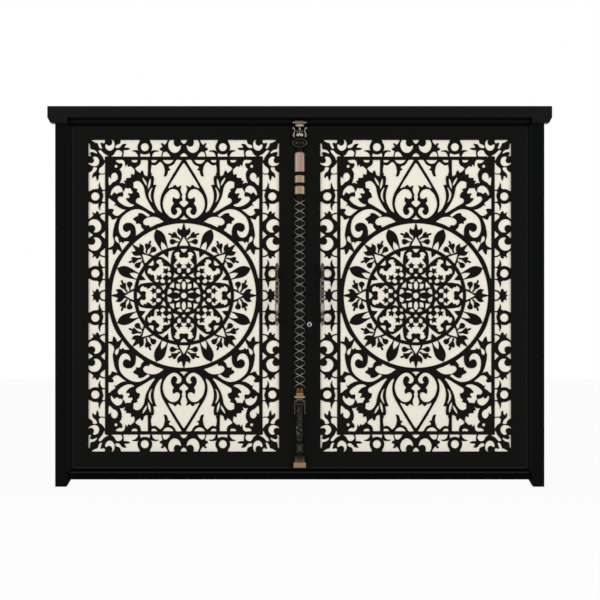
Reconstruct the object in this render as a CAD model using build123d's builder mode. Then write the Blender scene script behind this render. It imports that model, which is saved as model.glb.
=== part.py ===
from build123d import *
from math import cos, radians, sin
import os

# Black steel double door in its frame, with laser-cut panels over an ivory backing.
# Millimetres. X runs along the wall, -Y is the outside, Z is up.
# The origin is the middle of the threshold's underside.

# Frame
frame_width = 3085.0
frame_depth = 150.0
jamb_face = 79.5
jamb_splay = 16.0
step_setback = 25.0
foot_drop = 46.0
foot_flat = 69.0
anchor_hole_radius = 6.0
anchor_setback = 112.5
anchor_heights = (250.0, 2050.0, 850.0, 1450.0)
jamb_stop_width = 28.0
stop_thickness = 28.0
head_stop_height = 24.5
head_stop_nose = 13.0
head_stop_relief = 130.0

# Threshold
sill_riser = 32.0
sill_step_height = 48.0
sill_step_riser = 8.0
sill_top = 60.5
sill_upstand = 19.5

# Head and cornice
head_underside_gap = 6.0
head_splay_height = 14.5
head_strip_height = 16.0
head_soffit_splay = 15.5
cornice_fascia = 71.5
cornice_overhang = 47.5
cornice_projection = 30.0
ear_chamfer = 19.0
ear_drop = 35.0
cornice_edge_radius = 4.0

# Leaves
leaf_height = 2164.0
leaf_setback = 43.0
leaf_thickness = 60.0
side_gap = 8.0
bottom_gap = 6.0
meeting_gap = 7.0
stile_overlap = 50.0
outer_stile_width = 104.5
panel_inset = 131.0
top_rail_height = 86.5
bottom_rail_height = 106.5
stile_edge_radius = 2.0

# Panel packs
lip_depth = 10.0
rebate_width = 12.0
pack_clearance = 2.0
tracery_thickness = 4.0
backing_thickness = 10.0
bead_end_gap = 0.3

# Pivots
pivot_from_edge = 38.0
pivot_from_face = 14.0
pin_radius = 7.0
pin_engagement = 20.0
pin_clearance = 0.3
pin_end_clearance = 2.0
bush_wall = 3.5
bush_seat_clearance = 0.1

# Column on the right leaf's meeting stile, from its foot upwards
base_width = 81.0
base_projection = 44.0
plinth_height = 40.0
plinth_step = 6.0
base_drum_height = 42.0
base_drum_radius = 34.0
base_bead_radius = 37.0
lower_shaft_height = 353.0
lower_shaft_radius = 26.0
side_plate_half = 36.0
side_plate_thickness = 5.0
frame_panel_height = 90.0
frame_bar_width = 7.0
frame_bar_projection = 29.0
relief_block_width = 54.0
relief_block_height = 56.0
relief_block_rise = 20.0
collar_height = 75.5
collar_radius = 26.0
collar_flange_radius = 37.5
collar_flange_rise = 13.0
shaft_radius = 31.0
shaft_plate_half = 40.0
shaft_plate_thickness = 4.0
lower_band_height = 57.0
middle_gap_height = 19.0
upper_band_height = 50.5
band_radius = 34.0
band_gap_height = 16.0
neck_height = 131.0
neck_radius = 33.5
rib_count = 5
rib_radius = 3.0
rib_spread = 30.0
dark_neck_height = 26.5
dark_neck_radius = 30.0
ring_height = 60.0
ring_width = 96.0
ring_bar = 9.0
inner_oval_width = 54.0
inner_oval_height = 17.0
ring_projection = 33.0
capital_width = 95.0
capital_height = 109.0
capital_projection = 54.0
capital_head_clearance = 6.0
capital_rise = 32.0
abacus_height = 17.0
abacus_tip_height = 7.0
echinus_width = 54.0
echinus_height = 17.0
bell_foot_radius = 27.0
bell_top_radius = 35.0
scroll_reach = 42.0
scroll_bar = 9.0
scroll_depth = 36.0
fan_rise = 14.0
fan_reach = 22.0
fan_leaf_width = 10.0
fan_projection = 44.0

# Pull handles
grip_length = 400.0
grip_radius = 13.0
grip_socket_radius = 11.0
grip_centre = 143.5
grip_bottom = 966.0
grip_standoff = 44.0
grip_end_cone = 16.0
# Each turned length of the grip, as the height of its top and its radius
grip_turnings = (
    (54.0, grip_socket_radius), (70.0, grip_radius), (150.0, 10.5), (180.0, grip_radius), (244.0, 10.5),
    (295.0, grip_radius), (346.0, 10.0), (384.0, grip_socket_radius),
)
post_radius = 8.0
post_inset = 46.0
post_from_panel = 10.0
arm_radius = 6.0
arm_clearance = 0.3

# Lock
lock_centre = 61.0
lock_height = 978.0
lock_rose_radius = 17.5
lock_rose_thickness = 6.0
lock_barrel_radius = 13.0
lock_plug_radius = 10.0
lock_plug_recess = 1.5
keyway_width = 2.4
keyway_length = 10.0
keyway_depth = 5.0
lock_bore_clearance = 0.3
turn_rose_radius = 24.0
turn_rose_thickness = 6.0
turn_knob_length = 36.0
turn_knob_thickness = 10.0
turn_knob_projection = 22.0
faceplate_width = 24.0
faceplate_length = 240.0
faceplate_thickness = 3.0
flush_bolt_width = 20.0
flush_bolt_length = 200.0

# Laser-cut tracery
sheet_margin = 10.0
edge_bar = 2.0
side_border = 103.5
top_border = 106.5
bar_width = 21.0
medallion_radius = 456.5
medallion_bar = 23.5
middle_ring_radius = 315.0
rosette_radius = 105.0
spoke_count = 8
rose_petal_count = 12
ring_hole = 25.5
ring_bar_width = 21.0
ring_inset = 44.0
ring_low = 140.0
ring_high = 626.0
ring_across = 246.0
crescent_hole = 41.0
crescent_moon = 24.0
crescent_middle = 383.0
stem_width = 20.0
vine_width = 14.0
volute_width = 17.0
volute_ball = 27.0

# Derived places
frame_front = -frame_depth / 2
frame_back = frame_depth / 2
step_y = frame_front + step_setback
frame_half = frame_width / 2
opening_half = frame_half - jamb_face - jamb_splay
reveal_half = frame_half - jamb_face
leaf_front = frame_front + leaf_setback
leaf_back = leaf_front + leaf_thickness
leaf_bottom = sill_top + bottom_gap
leaf_top = leaf_bottom + leaf_height
head_underside = leaf_top + head_underside_gap
head_step_low = head_underside + head_splay_height
head_step_high = head_step_low + head_strip_height
head_top = head_step_high + head_soffit_splay
cornice_top = head_top + cornice_fascia
cornice_front = frame_front - cornice_projection
jamb_top = head_top - ear_drop
stop_front = frame_back - stop_thickness
hinge_edge = opening_half - side_gap
panel_outer = hinge_edge - outer_stile_width
panel_width = panel_outer - panel_inset
panel_centre = (panel_outer + panel_inset) / 2
panel_bottom = leaf_bottom + bottom_rail_height
panel_top = leaf_top - top_rail_height
panel_height = panel_top - panel_bottom
panel_middle = (panel_top + panel_bottom) / 2
sheet_front = leaf_front + lip_depth
backing_front = sheet_front + tracery_thickness
bead_front = backing_front + backing_thickness
pivot_x = hinge_edge - pivot_from_edge
pivot_y = leaf_front + pivot_from_face
bush_radius = pin_radius + pin_clearance + bush_wall
bush_depth = pin_engagement + pin_end_clearance
right_meeting_edge = -stile_overlap
left_meeting_edge = right_meeting_edge - meeting_gap

sides = (("left", -1), ("right", 1))

os.makedirs("parts", exist_ok=True)


def keep(part, name):
    """Labels a finished piece and writes it."""
    part.label = name
    export_step(part, f"parts/{name}.step")


def bar_between(x0, x1, y0, y1, z0, z1, mode=Mode.ADD):
    """A square-edged bar between three pairs of places, in the part being made."""
    with Locations(((x0 + x1) / 2, (y0 + y1) / 2, (z0 + z1) / 2)):
        Box(abs(x1 - x0), abs(y1 - y0), abs(z1 - z0), mode=mode)


# Jambs: splayed inner reveal, sloped foot and wall anchor holes
for side, sign in sides:
    with BuildPart() as jamb:
        with BuildSketch(Plane.XY.offset(-foot_drop)):
            with BuildLine():
                Polyline(
                    (sign * frame_half, frame_back),
                    (sign * frame_half, frame_front),
                    (sign * reveal_half, frame_front),
                    (sign * opening_half, step_y),
                    (sign * opening_half, frame_back),
                    close=True,
                )
            make_face()
        extrude(amount=jamb_top + foot_drop)
        with BuildSketch(Plane.XZ):
            with BuildLine():
                Polyline(
                    (sign * (frame_half - foot_flat), -foot_drop),
                    (sign * opening_half, -foot_drop),
                    (sign * opening_half, 0),
                    close=True,
                )
            make_face()
        extrude(amount=frame_depth, both=True, mode=Mode.SUBTRACT)
        with BuildSketch(Plane.YZ.offset(sign * frame_half)):
            with Locations(*[(frame_front + anchor_setback, z) for z in anchor_heights]):
                Circle(anchor_hole_radius)
        extrude(amount=-sign * (jamb_face + jamb_splay), mode=Mode.SUBTRACT)
    keep(jamb.part, f"jamb_{side}")

# Stepped head, seated on the jambs' inner shoulders
with BuildPart() as frame_head:
    with BuildSketch(Plane.YZ):
        with BuildLine():
            Polyline(
                (frame_back, head_top),
                (frame_front, head_top),
                (step_y, head_step_high),
                (step_y, head_step_low),
                (leaf_front, head_underside),
                (frame_back, head_underside),
                close=True,
            )
        make_face()
    extrude(amount=reveal_half, both=True)
    for side, sign in sides:
        bar_between(
            sign * opening_half, sign * frame_half, frame_front, frame_back, 0, jamb_top, Mode.SUBTRACT
        )
keep(frame_head.part, "frame_head")

# Cornice with an ear over each jamb
with BuildPart() as cornice:
    with BuildSketch(Plane.XZ.offset(-frame_back)):
        with BuildLine():
            cornice_half = frame_half + cornice_overhang
            Polyline(
                (-cornice_half, cornice_top),
                (-cornice_half, head_top),
                (-cornice_half + ear_chamfer, jamb_top),
                (-reveal_half, jamb_top),
                (-reveal_half, head_top),
                (reveal_half, head_top),
                (reveal_half, jamb_top),
                (cornice_half - ear_chamfer, jamb_top),
                (cornice_half, head_top),
                (cornice_half, cornice_top),
                close=True,
            )
        make_face()
    extrude(amount=frame_back - cornice_front)
    fillet(cornice.faces().sort_by(Axis.Z)[-1].edges(), cornice_edge_radius)
keep(cornice.part, "cornice")

# Stepped threshold with a rear upstand that the leaves close in front of
with BuildPart() as threshold:
    with BuildSketch(Plane.YZ):
        with BuildLine():
            Polyline(
                (frame_front, 0),
                (frame_front, sill_riser),
                (step_y, sill_step_height),
                (step_y, sill_step_height + sill_step_riser),
                (leaf_front, sill_top),
                (stop_front, sill_top),
                (stop_front, sill_top + sill_upstand),
                (frame_back, sill_top + sill_upstand),
                (frame_back, 0),
                close=True,
            )
        make_face()
    extrude(amount=opening_half, both=True)
keep(threshold.part, "threshold")

# Stops behind the leaves
for side, sign in sides:
    with BuildPart() as jamb_stop:
        bar_between(
            sign * (opening_half - jamb_stop_width),
            sign * opening_half,
            stop_front,
            frame_back,
            sill_top + sill_upstand,
            head_underside,
        )
    keep(jamb_stop.part, f"jamb_stop_{side}")

with BuildPart() as head_stop:
    stop_half = opening_half - jamb_stop_width
    bar_between(
        -stop_half, stop_half, stop_front, frame_back, head_underside - head_stop_height, head_underside
    )
    bar_between(
        -stop_half + head_stop_relief,
        stop_half - head_stop_relief,
        stop_front - head_stop_nose,
        stop_front,
        head_underside - head_stop_height,
        head_underside,
    )
keep(head_stop.part, "head_stop")

# Pivot pins in the threshold and the head, and the bushes that turn on them
for side, sign in sides:
    with BuildPart() as pivot_pins:
        with BuildSketch(Plane.XY.offset(sill_top)):
            with Locations((sign * pivot_x, pivot_y)):
                Circle(pin_radius)
        extrude(amount=bottom_gap + pin_engagement)
        with BuildSketch(Plane.XY.offset(head_underside)):
            with Locations((sign * pivot_x, pivot_y)):
                Circle(pin_radius)
        extrude(amount=-(head_underside_gap + pin_engagement))
    keep(pivot_pins.part, f"{side}_pivot_pins")

    with BuildPart() as pivot_bushes:
        for end, direction in ((leaf_bottom, 1), (leaf_top, -1)):
            with BuildSketch(Plane.XY.offset(end)):
                with Locations((sign * pivot_x, pivot_y)):
                    Circle(bush_radius)
                    Circle(pin_radius + pin_clearance, mode=Mode.SUBTRACT)
            extrude(amount=direction * bush_depth)
    keep(pivot_bushes.part, f"{side}_pivot_bushes")


def rebate(sign):
    """Cuts the panel's rebate, open to the back, out of the piece being made."""
    bar_between(
        sign * (panel_inset - rebate_width),
        sign * (panel_outer + rebate_width),
        sheet_front,
        leaf_back,
        panel_bottom - rebate_width,
        panel_top + rebate_width,
        Mode.SUBTRACT,
    )


# Leaf frames
for side, sign in sides:
    meeting_edge = left_meeting_edge if sign < 0 else right_meeting_edge

    with BuildPart() as hinge_stile:
        bar_between(sign * panel_outer, sign * hinge_edge, leaf_front, leaf_back, leaf_bottom, leaf_top)
        fillet(hinge_stile.edges().filter_by(Axis.Z), stile_edge_radius)
        rebate(sign)
        for end, direction in ((leaf_bottom, 1), (leaf_top, -1)):
            with BuildSketch(Plane.XY.offset(end)):
                with Locations((sign * pivot_x, pivot_y)):
                    Circle(bush_radius + bush_seat_clearance)
            extrude(amount=direction * bush_depth, mode=Mode.SUBTRACT)
    keep(hinge_stile.part, f"{side}_hinge_stile")

    with BuildPart() as meeting_stile:
        bar_between(meeting_edge, sign * panel_inset, leaf_front, leaf_back, leaf_bottom, leaf_top)
        fillet(meeting_stile.edges().filter_by(Axis.Z), stile_edge_radius)
        rebate(sign)
        if sign > 0:
            with BuildSketch(Plane.XZ.offset(-leaf_back)):
                with Locations((lock_centre, lock_height)):
                    Circle(lock_barrel_radius + lock_bore_clearance)
            extrude(amount=leaf_thickness, mode=Mode.SUBTRACT)
            bar_between(
                meeting_edge,
                meeting_edge + faceplate_thickness,
                leaf_front + leaf_thickness / 2 - faceplate_width / 2,
                leaf_front + leaf_thickness / 2 + faceplate_width / 2,
                lock_height - faceplate_length / 2,
                lock_height + faceplate_length / 2,
                Mode.SUBTRACT,
            )
        else:
            for low in (leaf_bottom, leaf_top - flush_bolt_length):
                bar_between(
                    meeting_edge - faceplate_thickness,
                    meeting_edge,
                    leaf_front + leaf_thickness / 2 - flush_bolt_width / 2,
                    leaf_front + leaf_thickness / 2 + flush_bolt_width / 2,
                    low,
                    low + flush_bolt_length,
                    Mode.SUBTRACT,
                )
    keep(meeting_stile.part, f"{side}_meeting_stile")

    for rail, low, high in (
        ("top_rail", panel_top, leaf_top),
        ("bottom_rail", leaf_bottom, panel_bottom),
    ):
        with BuildPart() as leaf_rail:
            bar_between(sign * panel_inset, sign * panel_outer, leaf_front, leaf_back, low, high)
            rebate(sign)
        keep(leaf_rail.part, f"{side}_{rail}")

    # The ivory sheet behind the tracery, and the beads that hold both from the back
    pack_reach = rebate_width - pack_clearance
    with BuildPart() as backing:
        bar_between(
            sign * (panel_inset - pack_reach),
            sign * (panel_outer + pack_reach),
            backing_front,
            bead_front,
            panel_bottom - pack_reach,
            panel_top + pack_reach,
        )
    keep(backing.part, f"{side}_backing")

    with BuildPart() as back_beads:
        for edge, outward in ((panel_inset, -1), (panel_outer, 1)):
            bar_between(
                sign * edge,
                sign * (edge + outward * rebate_width),
                bead_front,
                leaf_back,
                panel_bottom - rebate_width,
                panel_top + rebate_width,
            )
        for edge, outward in ((panel_bottom, -1), (panel_top, 1)):
            bar_between(
                sign * (panel_inset + bead_end_gap),
                sign * (panel_outer - bead_end_gap),
                bead_front,
                leaf_back,
                edge,
                edge + outward * rebate_width,
            )
    keep(back_beads.part, f"{side}_back_beads")


def stroke(points, width):
    """A bar of the tracery from point to point, mitred where it turns."""
    left, right = [], []
    for k, (x, z) in enumerate(points):
        (ax, az), (bx, bz) = points[max(k - 1, 0)], points[min(k + 1, len(points) - 1)]
        across = Vector(az - bz, bx - ax).normalized() * (width / 2)
        left.append((x + across.X, z + across.Y))
        right.append((x - across.X, z - across.Y))
    Polygon(*left, *reversed(right), align=None)


def leaf(root, tip, width, mode=Mode.ADD):
    """A pointed leaf with straight edges, widest halfway to its tip."""
    start, end = Vector(*root), Vector(*tip)
    across = (end - start).normalized().rotate(Axis.Z, 90) * (width / 2)
    middle = (start + end) / 2
    corners = (start, middle + across, end, middle - across)
    Polygon(*[(corner.X, corner.Y) for corner in corners], align=None, mode=mode)


def spray(root, tips, width):
    """Leaves that spread from one root and join round it."""
    for tip in tips:
        start, end = Vector(*root), Vector(*tip)
        behind = start - (end - start).normalized() * width / 3
        leaf((behind.X, behind.Y), tip, width)


def cell(half_outline, scale=1.0, mode=Mode.ADD):
    """A straight-edged shape that is symmetrical about the X axis, from its upper half."""
    lower = [(x, -y) for x, y in reversed(half_outline) if y]
    Polygon(*[(x * scale, y * scale) for x, y in half_outline + lower], align=None, mode=mode)


# Laser-cut tracery, first the medallion's repeats, each drawn on the +X spoke
ring_gap = medallion_radius - middle_ring_radius
bud_root = middle_ring_radius + 0.4 * ring_gap
leg_foot = middle_ring_radius - ring_bar_width / 2
leaf_tip = medallion_radius + medallion_bar / 4
with BuildSketch() as palmette:
    leaf((bud_root - 10, 0), (leaf_tip, 0), 50)
    for hand in (1, -1):
        leaf((bud_root + 6, 0), (leg_foot, hand * 42), 22)
        leaf((bud_root - 28, hand * 12), (bud_root + 26, hand * 98), 34)
with BuildSketch() as lens_leaf:
    lens_foot = leg_foot - 35
    lens_middle = (lens_foot + leaf_tip) / 2
    with BuildLine():
        ThreePointArc((lens_foot, 0), (lens_middle, 34), (leaf_tip, 0))
        ThreePointArc((leaf_tip, 0), (lens_middle, -34), (lens_foot, 0))
    make_face()
    cell([(bud_root, 0), (leg_foot, 17)], mode=Mode.SUBTRACT)

# Cells cut through the medallion's core, fifty units from its middle to the middle ring
core_unit = middle_ring_radius / 50
pear_outline = [
    (38.4, 0), (39.8, 4), (43, 5), (43.4, 7.8), (41, 9.6), (36.6, 6.7), (30.6, 10.2),
    (27.8, 6.1), (23.6, 5.6), (23.6, 2.8), (26.4, 2.6), (28, 0),
]
with BuildSketch() as pear_loop:
    cell(pear_outline, core_unit)
    cell([(43.1, 0), (46.4, 3.3)], core_unit)
with BuildSketch() as spike_pair:
    cell([(33.8, 0), (42, 4), (45.8, 8.7), (46.4, 2.9), (41.3, 0)], core_unit)
    cell([(25.4, 0), (20.9, 3.1), (20.2, 0)], core_unit)
petal_ring = rosette_radius - 16
with BuildSketch() as rosette_cells:
    with BuildSketch() as petal:
        leaf((petal_ring, -19), (petal_ring, 19), 24)
    with PolarLocations(0, rose_petal_count, start_angle=180 / rose_petal_count):
        add(petal.sketch)
    for across, along in ((1, 1), (1, -1), (-1, 1), (-1, -1)):
        leaf((across * 27, along * 19), (across * 62, along * 24), 16)
        leaf((across * 32, along * 42), (across * 38, along * 74), 22)
        leaf((0, along * 40), (0, along * 88), 26)
    Circle(17)

# One quadrant of the borders and corners, mirrored about the panel's middle
half_w = panel_width / 2
half_h = panel_height / 2
bar_x = half_w - side_border
bar_z = half_h - top_border
in_bar = bar_width / 2


def on_medallion(angle):
    """A place on the middle line of the medallion's outer ring, by its angle above the X axis."""
    reach = medallion_radius + medallion_bar / 2
    return (reach * cos(radians(angle)), reach * sin(radians(angle)))


def border_ring(place, border):
    """A ring of a border on two thorned legs; place gives points along and into the border."""
    with Locations(place(0, ring_inset)):
        Circle(ring_hole + ring_bar_width)
        Circle(ring_hole, mode=Mode.SUBTRACT)
    for hand in (1, -1):
        root = place(hand * 32, ring_inset + 24)
        spray(root, [place(hand * 90, ring_inset + 27), place(hand * 40, border + in_bar)], 16)


def border_crescent(place, border):
    """Half of a pair of crescent rings with its pointed leaf, from the pair's middle along the border."""
    outline = [
        (0, 28), (20, -edge_bar), (97, -edge_bar), (122, 30), (150, 38), (133, 70),
        (144, border + 2), (133, border + 2), (117, 75), (80, border + 2), (20, border + 2), (0, 80),
    ]
    Polygon(*[place(*point) for point in outline], align=None)
    with Locations(place(57, crescent_hole)):
        Circle(crescent_hole, mode=Mode.SUBTRACT)
    with Locations(place(37, crescent_moon - 6)):
        Circle(crescent_moon)


with BuildSketch() as quadrant:
    # The sheet's edge, mostly behind the leaf's lip, and the inner bar
    sheet_x, sheet_z = half_w + sheet_margin, half_h + sheet_margin
    for centre, size in (
        ((half_w + (sheet_margin - edge_bar) / 2, sheet_z / 2), (sheet_margin + edge_bar, sheet_z)),
        ((sheet_x / 2, half_h + (sheet_margin - edge_bar) / 2), (sheet_x, sheet_margin + edge_bar)),
        ((bar_x - in_bar, bar_z / 2), (bar_width, bar_z)),
        ((bar_x / 2, bar_z - in_bar), (bar_x, bar_width)),
    ):
        with Locations(centre):
            Rectangle(*size)
    # Side border, upwards from the panel's middle height, then the top border from its middle
    border_ring(lambda along, into: (half_w - into, ring_low + along), side_border)
    border_ring(lambda along, into: (half_w - into, ring_high + along), side_border)
    border_crescent(lambda along, into: (half_w - into, crescent_middle + along), side_border)
    border_crescent(lambda along, into: (half_w - into, crescent_middle - along), side_border)
    spray(
        (half_w - 48, 0),
        [(half_w - 14, 34), (half_w - 56, 48), (bar_x - in_bar, 32), (half_w - 10, 0)],
        22,
    )
    spray(
        (half_w - 58, ring_high + 164),
        [(half_w - 22, ring_high + 116), (half_w - 53, ring_high + 94), (bar_x - in_bar, ring_high + 146)],
        20,
    )
    border_ring(lambda along, into: (ring_across + along, half_h - into), top_border)
    border_crescent(lambda along, into: (along, half_h - into), top_border)
    spray(
        (ring_across + 150, half_h - 60),
        [(ring_across + 90, half_h - 54), (ring_across + 114, half_h - 22),
         (ring_across + 142, bar_z - in_bar)],
        20,
    )
    # Corner: crossed leaves over the bar's corner
    corner = (half_w - 58, half_h - 58)
    spray(
        corner,
        [(half_w + edge_bar, half_h + edge_bar), (bar_x - in_bar, bar_z - in_bar),
         (half_w - 132, half_h - 26), (half_w - 26, half_h - 132),
         (half_w - 104, half_h + edge_bar), (half_w + edge_bar, half_h - 104)],
        30,
    )
    # Ogee over the medallion, with the scroll inside it
    stroke([(0, bar_z - in_bar), (70, 745), (118, 666), (141, 600), (136, 545), on_medallion(79)], vine_width)
    stroke([(108, 684), (62, 684), (32, 657), (20, 627), (34, 603), (63, 582), (76, 552), (66, 526)], 12)
    stroke([(63, 582), (32, 560), (4, 532), (14, 504), on_medallion(86)], 12)
    with Locations((57, 532)):
        Circle(18)
    # Frond beside the ogee, its stem and the dark leaf at its head
    stroke([on_medallion(71), (204, 590), (232, 660), (250, 725), (284, 782)], vine_width)
    stroke([on_medallion(74), (190, 590), (196, 650), (190, 716), (216, 760)], vine_width)
    stroke([(216, bar_z - in_bar), (216, 760)], stem_width)
    leaf((214, 764), (208, 610), 34)
    leaf((284, 782), (348, bar_z), 44)
    spray((292, 748), [(384, 724), (352, 818), (258, 806), (214, 742), (340, 690)], 44)
    # Branch from the frond to the side bar, with its leaves
    stroke([(226, 556), (300, 572), (352, 598), (392, 650), (412, 700), (bar_x - in_bar, 716)], vine_width)
    spray((356, 600), [(308, 646), (356, 676)], 32)
    leaf((372, 612), (bar_x - in_bar, 570), 26)
    leaf((384, 646), (bar_x - in_bar, 640), 24)
    stroke([(412, 700), (388, 758), (420, 806), (bar_x - in_bar, 812)], vine_width)
    leaf((430, bar_z - in_bar), (350, 792), 26)
    # Volute, its ball and the leaves beside it
    stroke(
        [on_medallion(70), (206, 514), (259, 546), (306, 556), (354, 535), (396, 503), (420, 462), (429, 420),
         (424, 379), on_medallion(38)],
        volute_width,
    )
    with Locations((358, 431)):
        Circle(volute_ball)
    stroke([(342, 436), (322, 408), on_medallion(51)], volute_ball)
    spray((216, 508), [(322, 486), (300, 452), (262, 428)], 40)
    spray((424, 379), [(bar_x - in_bar, 340), (400, 284), (bar_x - in_bar, 400)], 24)
    leaf((436, 520), (bar_x - in_bar, 548), 24)

with BuildSketch() as tracery_outline:
    add(quadrant.sketch)
    mirror(about=Plane.YZ)
    mirror(about=Plane.XZ)
    Circle(medallion_radius + medallion_bar)
    Circle(medallion_radius, mode=Mode.SUBTRACT)
    with PolarLocations(0, spoke_count):
        add(palmette.sketch)
    with PolarLocations(0, spoke_count, start_angle=180 / spoke_count):
        add(lens_leaf.sketch)
    Circle(middle_ring_radius)
    with PolarLocations(0, spoke_count):
        add(pear_loop.sketch, mode=Mode.SUBTRACT)
    with PolarLocations(0, spoke_count, start_angle=180 / spoke_count):
        add(spike_pair.sketch, mode=Mode.SUBTRACT)
    add(rosette_cells.sketch, mode=Mode.SUBTRACT)

for side, sign in sides:
    with BuildPart() as tracery:
        with BuildSketch(Plane.XZ.offset(-backing_front)):
            with Locations((sign * panel_centre, panel_middle)):
                add(tracery_outline.sketch)
        extrude(amount=tracery_thickness)
    keep(tracery.part, f"{side}_tracery")

# Pull handles: turned grips on posts whose arms reach to sockets in the grip
grip_y = leaf_front - grip_standoff - grip_radius
grip_profile = [(0, 0)]
grip_step = grip_end_cone
for top, radius in grip_turnings:
    grip_profile += [(radius, grip_step), (radius, top)]
    grip_step = top
grip_profile.append((0, grip_length))
for side, sign in sides:
    with BuildPart() as pull_grip:
        with BuildSketch(Plane((sign * grip_centre, grip_y, grip_bottom), x_dir=(1, 0, 0), z_dir=(0, -1, 0))):
            with BuildLine():
                Polyline(*grip_profile, close=True)
            make_face()
        revolve(axis=Axis((sign * grip_centre, grip_y, 0), (0, 0, 1)))
    keep(pull_grip.part, f"{side}_pull_grip")

    with BuildPart() as pull_posts:
        post_x = sign * (panel_inset - post_from_panel)
        arm_heights = (grip_bottom + post_inset, grip_bottom + grip_length - post_inset)
        with BuildSketch(Plane.XZ.offset(-leaf_front)):
            with Locations(*[(post_x, z) for z in arm_heights]):
                Circle(post_radius)
        extrude(amount=leaf_front - grip_y + arm_radius)
        arm_reach = grip_centre - grip_socket_radius - arm_clearance - abs(post_x)
        with BuildSketch(Plane.YZ.offset(post_x)):
            with Locations(*[(grip_y, z) for z in arm_heights]):
                Circle(arm_radius)
        extrude(amount=sign * arm_reach)
    keep(pull_posts.part, f"{side}_pull_posts")

# Lock cylinder, inside turn and faceplate on the right leaf
with BuildPart() as lock_cylinder:
    with BuildSketch(Plane.XZ.offset(-leaf_back)):
        with Locations((lock_centre, lock_height)):
            Circle(lock_barrel_radius)
    extrude(amount=leaf_thickness)
    with BuildSketch(Plane.XZ.offset(-leaf_front)):
        with Locations((lock_centre, lock_height)):
            Circle(lock_rose_radius)
    extrude(amount=lock_rose_thickness)
    with BuildSketch(Plane.XZ.offset(lock_rose_thickness - leaf_front)):
        with Locations((lock_centre, lock_height)):
            Circle(lock_plug_radius)
    extrude(amount=-lock_plug_recess, mode=Mode.SUBTRACT)
    with BuildSketch(Plane.XZ.offset(lock_rose_thickness - leaf_front)):
        with Locations((lock_centre, lock_height)):
            Rectangle(keyway_width, keyway_length)
    extrude(amount=-keyway_depth, mode=Mode.SUBTRACT)
keep(lock_cylinder.part, "lock_cylinder")

with BuildPart() as thumb_turn:
    with BuildSketch(Plane.XZ.offset(-leaf_back)):
        with Locations((lock_centre, lock_height)):
            Circle(turn_rose_radius)
    extrude(amount=-turn_rose_thickness)
    with BuildSketch(Plane.XZ.offset(-leaf_back - turn_rose_thickness)):
        with Locations((lock_centre, lock_height)):
            SlotOverall(turn_knob_length, turn_knob_thickness, rotation=90)
    extrude(amount=-turn_knob_projection)
keep(thumb_turn.part, "thumb_turn")

with BuildPart() as lock_faceplate:
    bar_between(
        right_meeting_edge,
        right_meeting_edge + faceplate_thickness,
        leaf_front + leaf_thickness / 2 - faceplate_width / 2,
        leaf_front + leaf_thickness / 2 + faceplate_width / 2,
        lock_height - faceplate_length / 2,
        lock_height + faceplate_length / 2,
    )
keep(lock_faceplate.part, "lock_faceplate")

with BuildPart() as flush_bolts:
    for low in (leaf_bottom, leaf_top - flush_bolt_length):
        bar_between(
            left_meeting_edge - faceplate_thickness,
            left_meeting_edge,
            leaf_front + leaf_thickness / 2 - flush_bolt_width / 2,
            leaf_front + leaf_thickness / 2 + flush_bolt_width / 2,
            low,
            low + flush_bolt_length,
        )
keep(flush_bolts.part, "flush_bolts")

# Centre column, standing on the face of the right leaf's meeting stile. The shaft takes up what the
# other lengths leave between the base and the capital, whose top laps the frame's stepped head.
column_axis = Axis((0, leaf_front, 0), (0, 0, -1))
plinth_top = leaf_bottom + plinth_height
base_top = plinth_top + base_drum_height
lower_shaft_top = base_top + lower_shaft_height
collar_top = lower_shaft_top + collar_height
capital_top = leaf_top + capital_rise
capital_foot = capital_top - capital_height
ring_foot = capital_foot - ring_height
dark_neck_foot = ring_foot - dark_neck_height
neck_foot = dark_neck_foot - neck_height
upper_band_top = neck_foot - band_gap_height
upper_band_foot = upper_band_top - upper_band_height
lower_band_top = upper_band_foot - middle_gap_height
shaft_top = lower_band_top - lower_band_height


def half_round(radius, low, high):
    """A half-round bar against the stile's face."""
    with BuildSketch(Plane.XY.offset(low)) as outline:
        with Locations((0, leaf_front)):
            Circle(radius)
            Rectangle(2 * radius, radius, align=(Align.CENTER, Align.MIN), mode=Mode.SUBTRACT)
    extrude(outline.sketch, amount=high - low)


def half_turned(profile):
    """A half-round turned form against the stile's face, from radii and heights upwards."""
    with BuildSketch(Plane.XZ.offset(-leaf_front)) as outline:
        with BuildLine():
            Polyline((0, profile[0][1]), *profile, (0, profile[-1][1]), close=True)
        make_face()
    revolve(outline.sketch, axis=column_axis, revolution_arc=180)


def plate_between(half_width, projection, low, high):
    """A flat plate on the stile's face, centred on the column."""
    bar_between(-half_width, half_width, leaf_front - projection, leaf_front, low, high)


# Stepped plinth under a drum with a bead at its foot
with BuildPart() as column_base:
    plate_between(base_width / 2, base_projection - plinth_step, leaf_bottom, plinth_top)
    plate_between(base_width / 2 - plinth_step, base_projection, leaf_bottom, plinth_top)
    bead_top = plinth_top + base_bead_radius - base_drum_radius
    half_turned(
        [(base_bead_radius, plinth_top), (base_bead_radius, bead_top),
         (base_drum_radius, bead_top + plinth_step), (base_drum_radius, base_top)]
    )
keep(column_base.part, "column_base")

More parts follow.
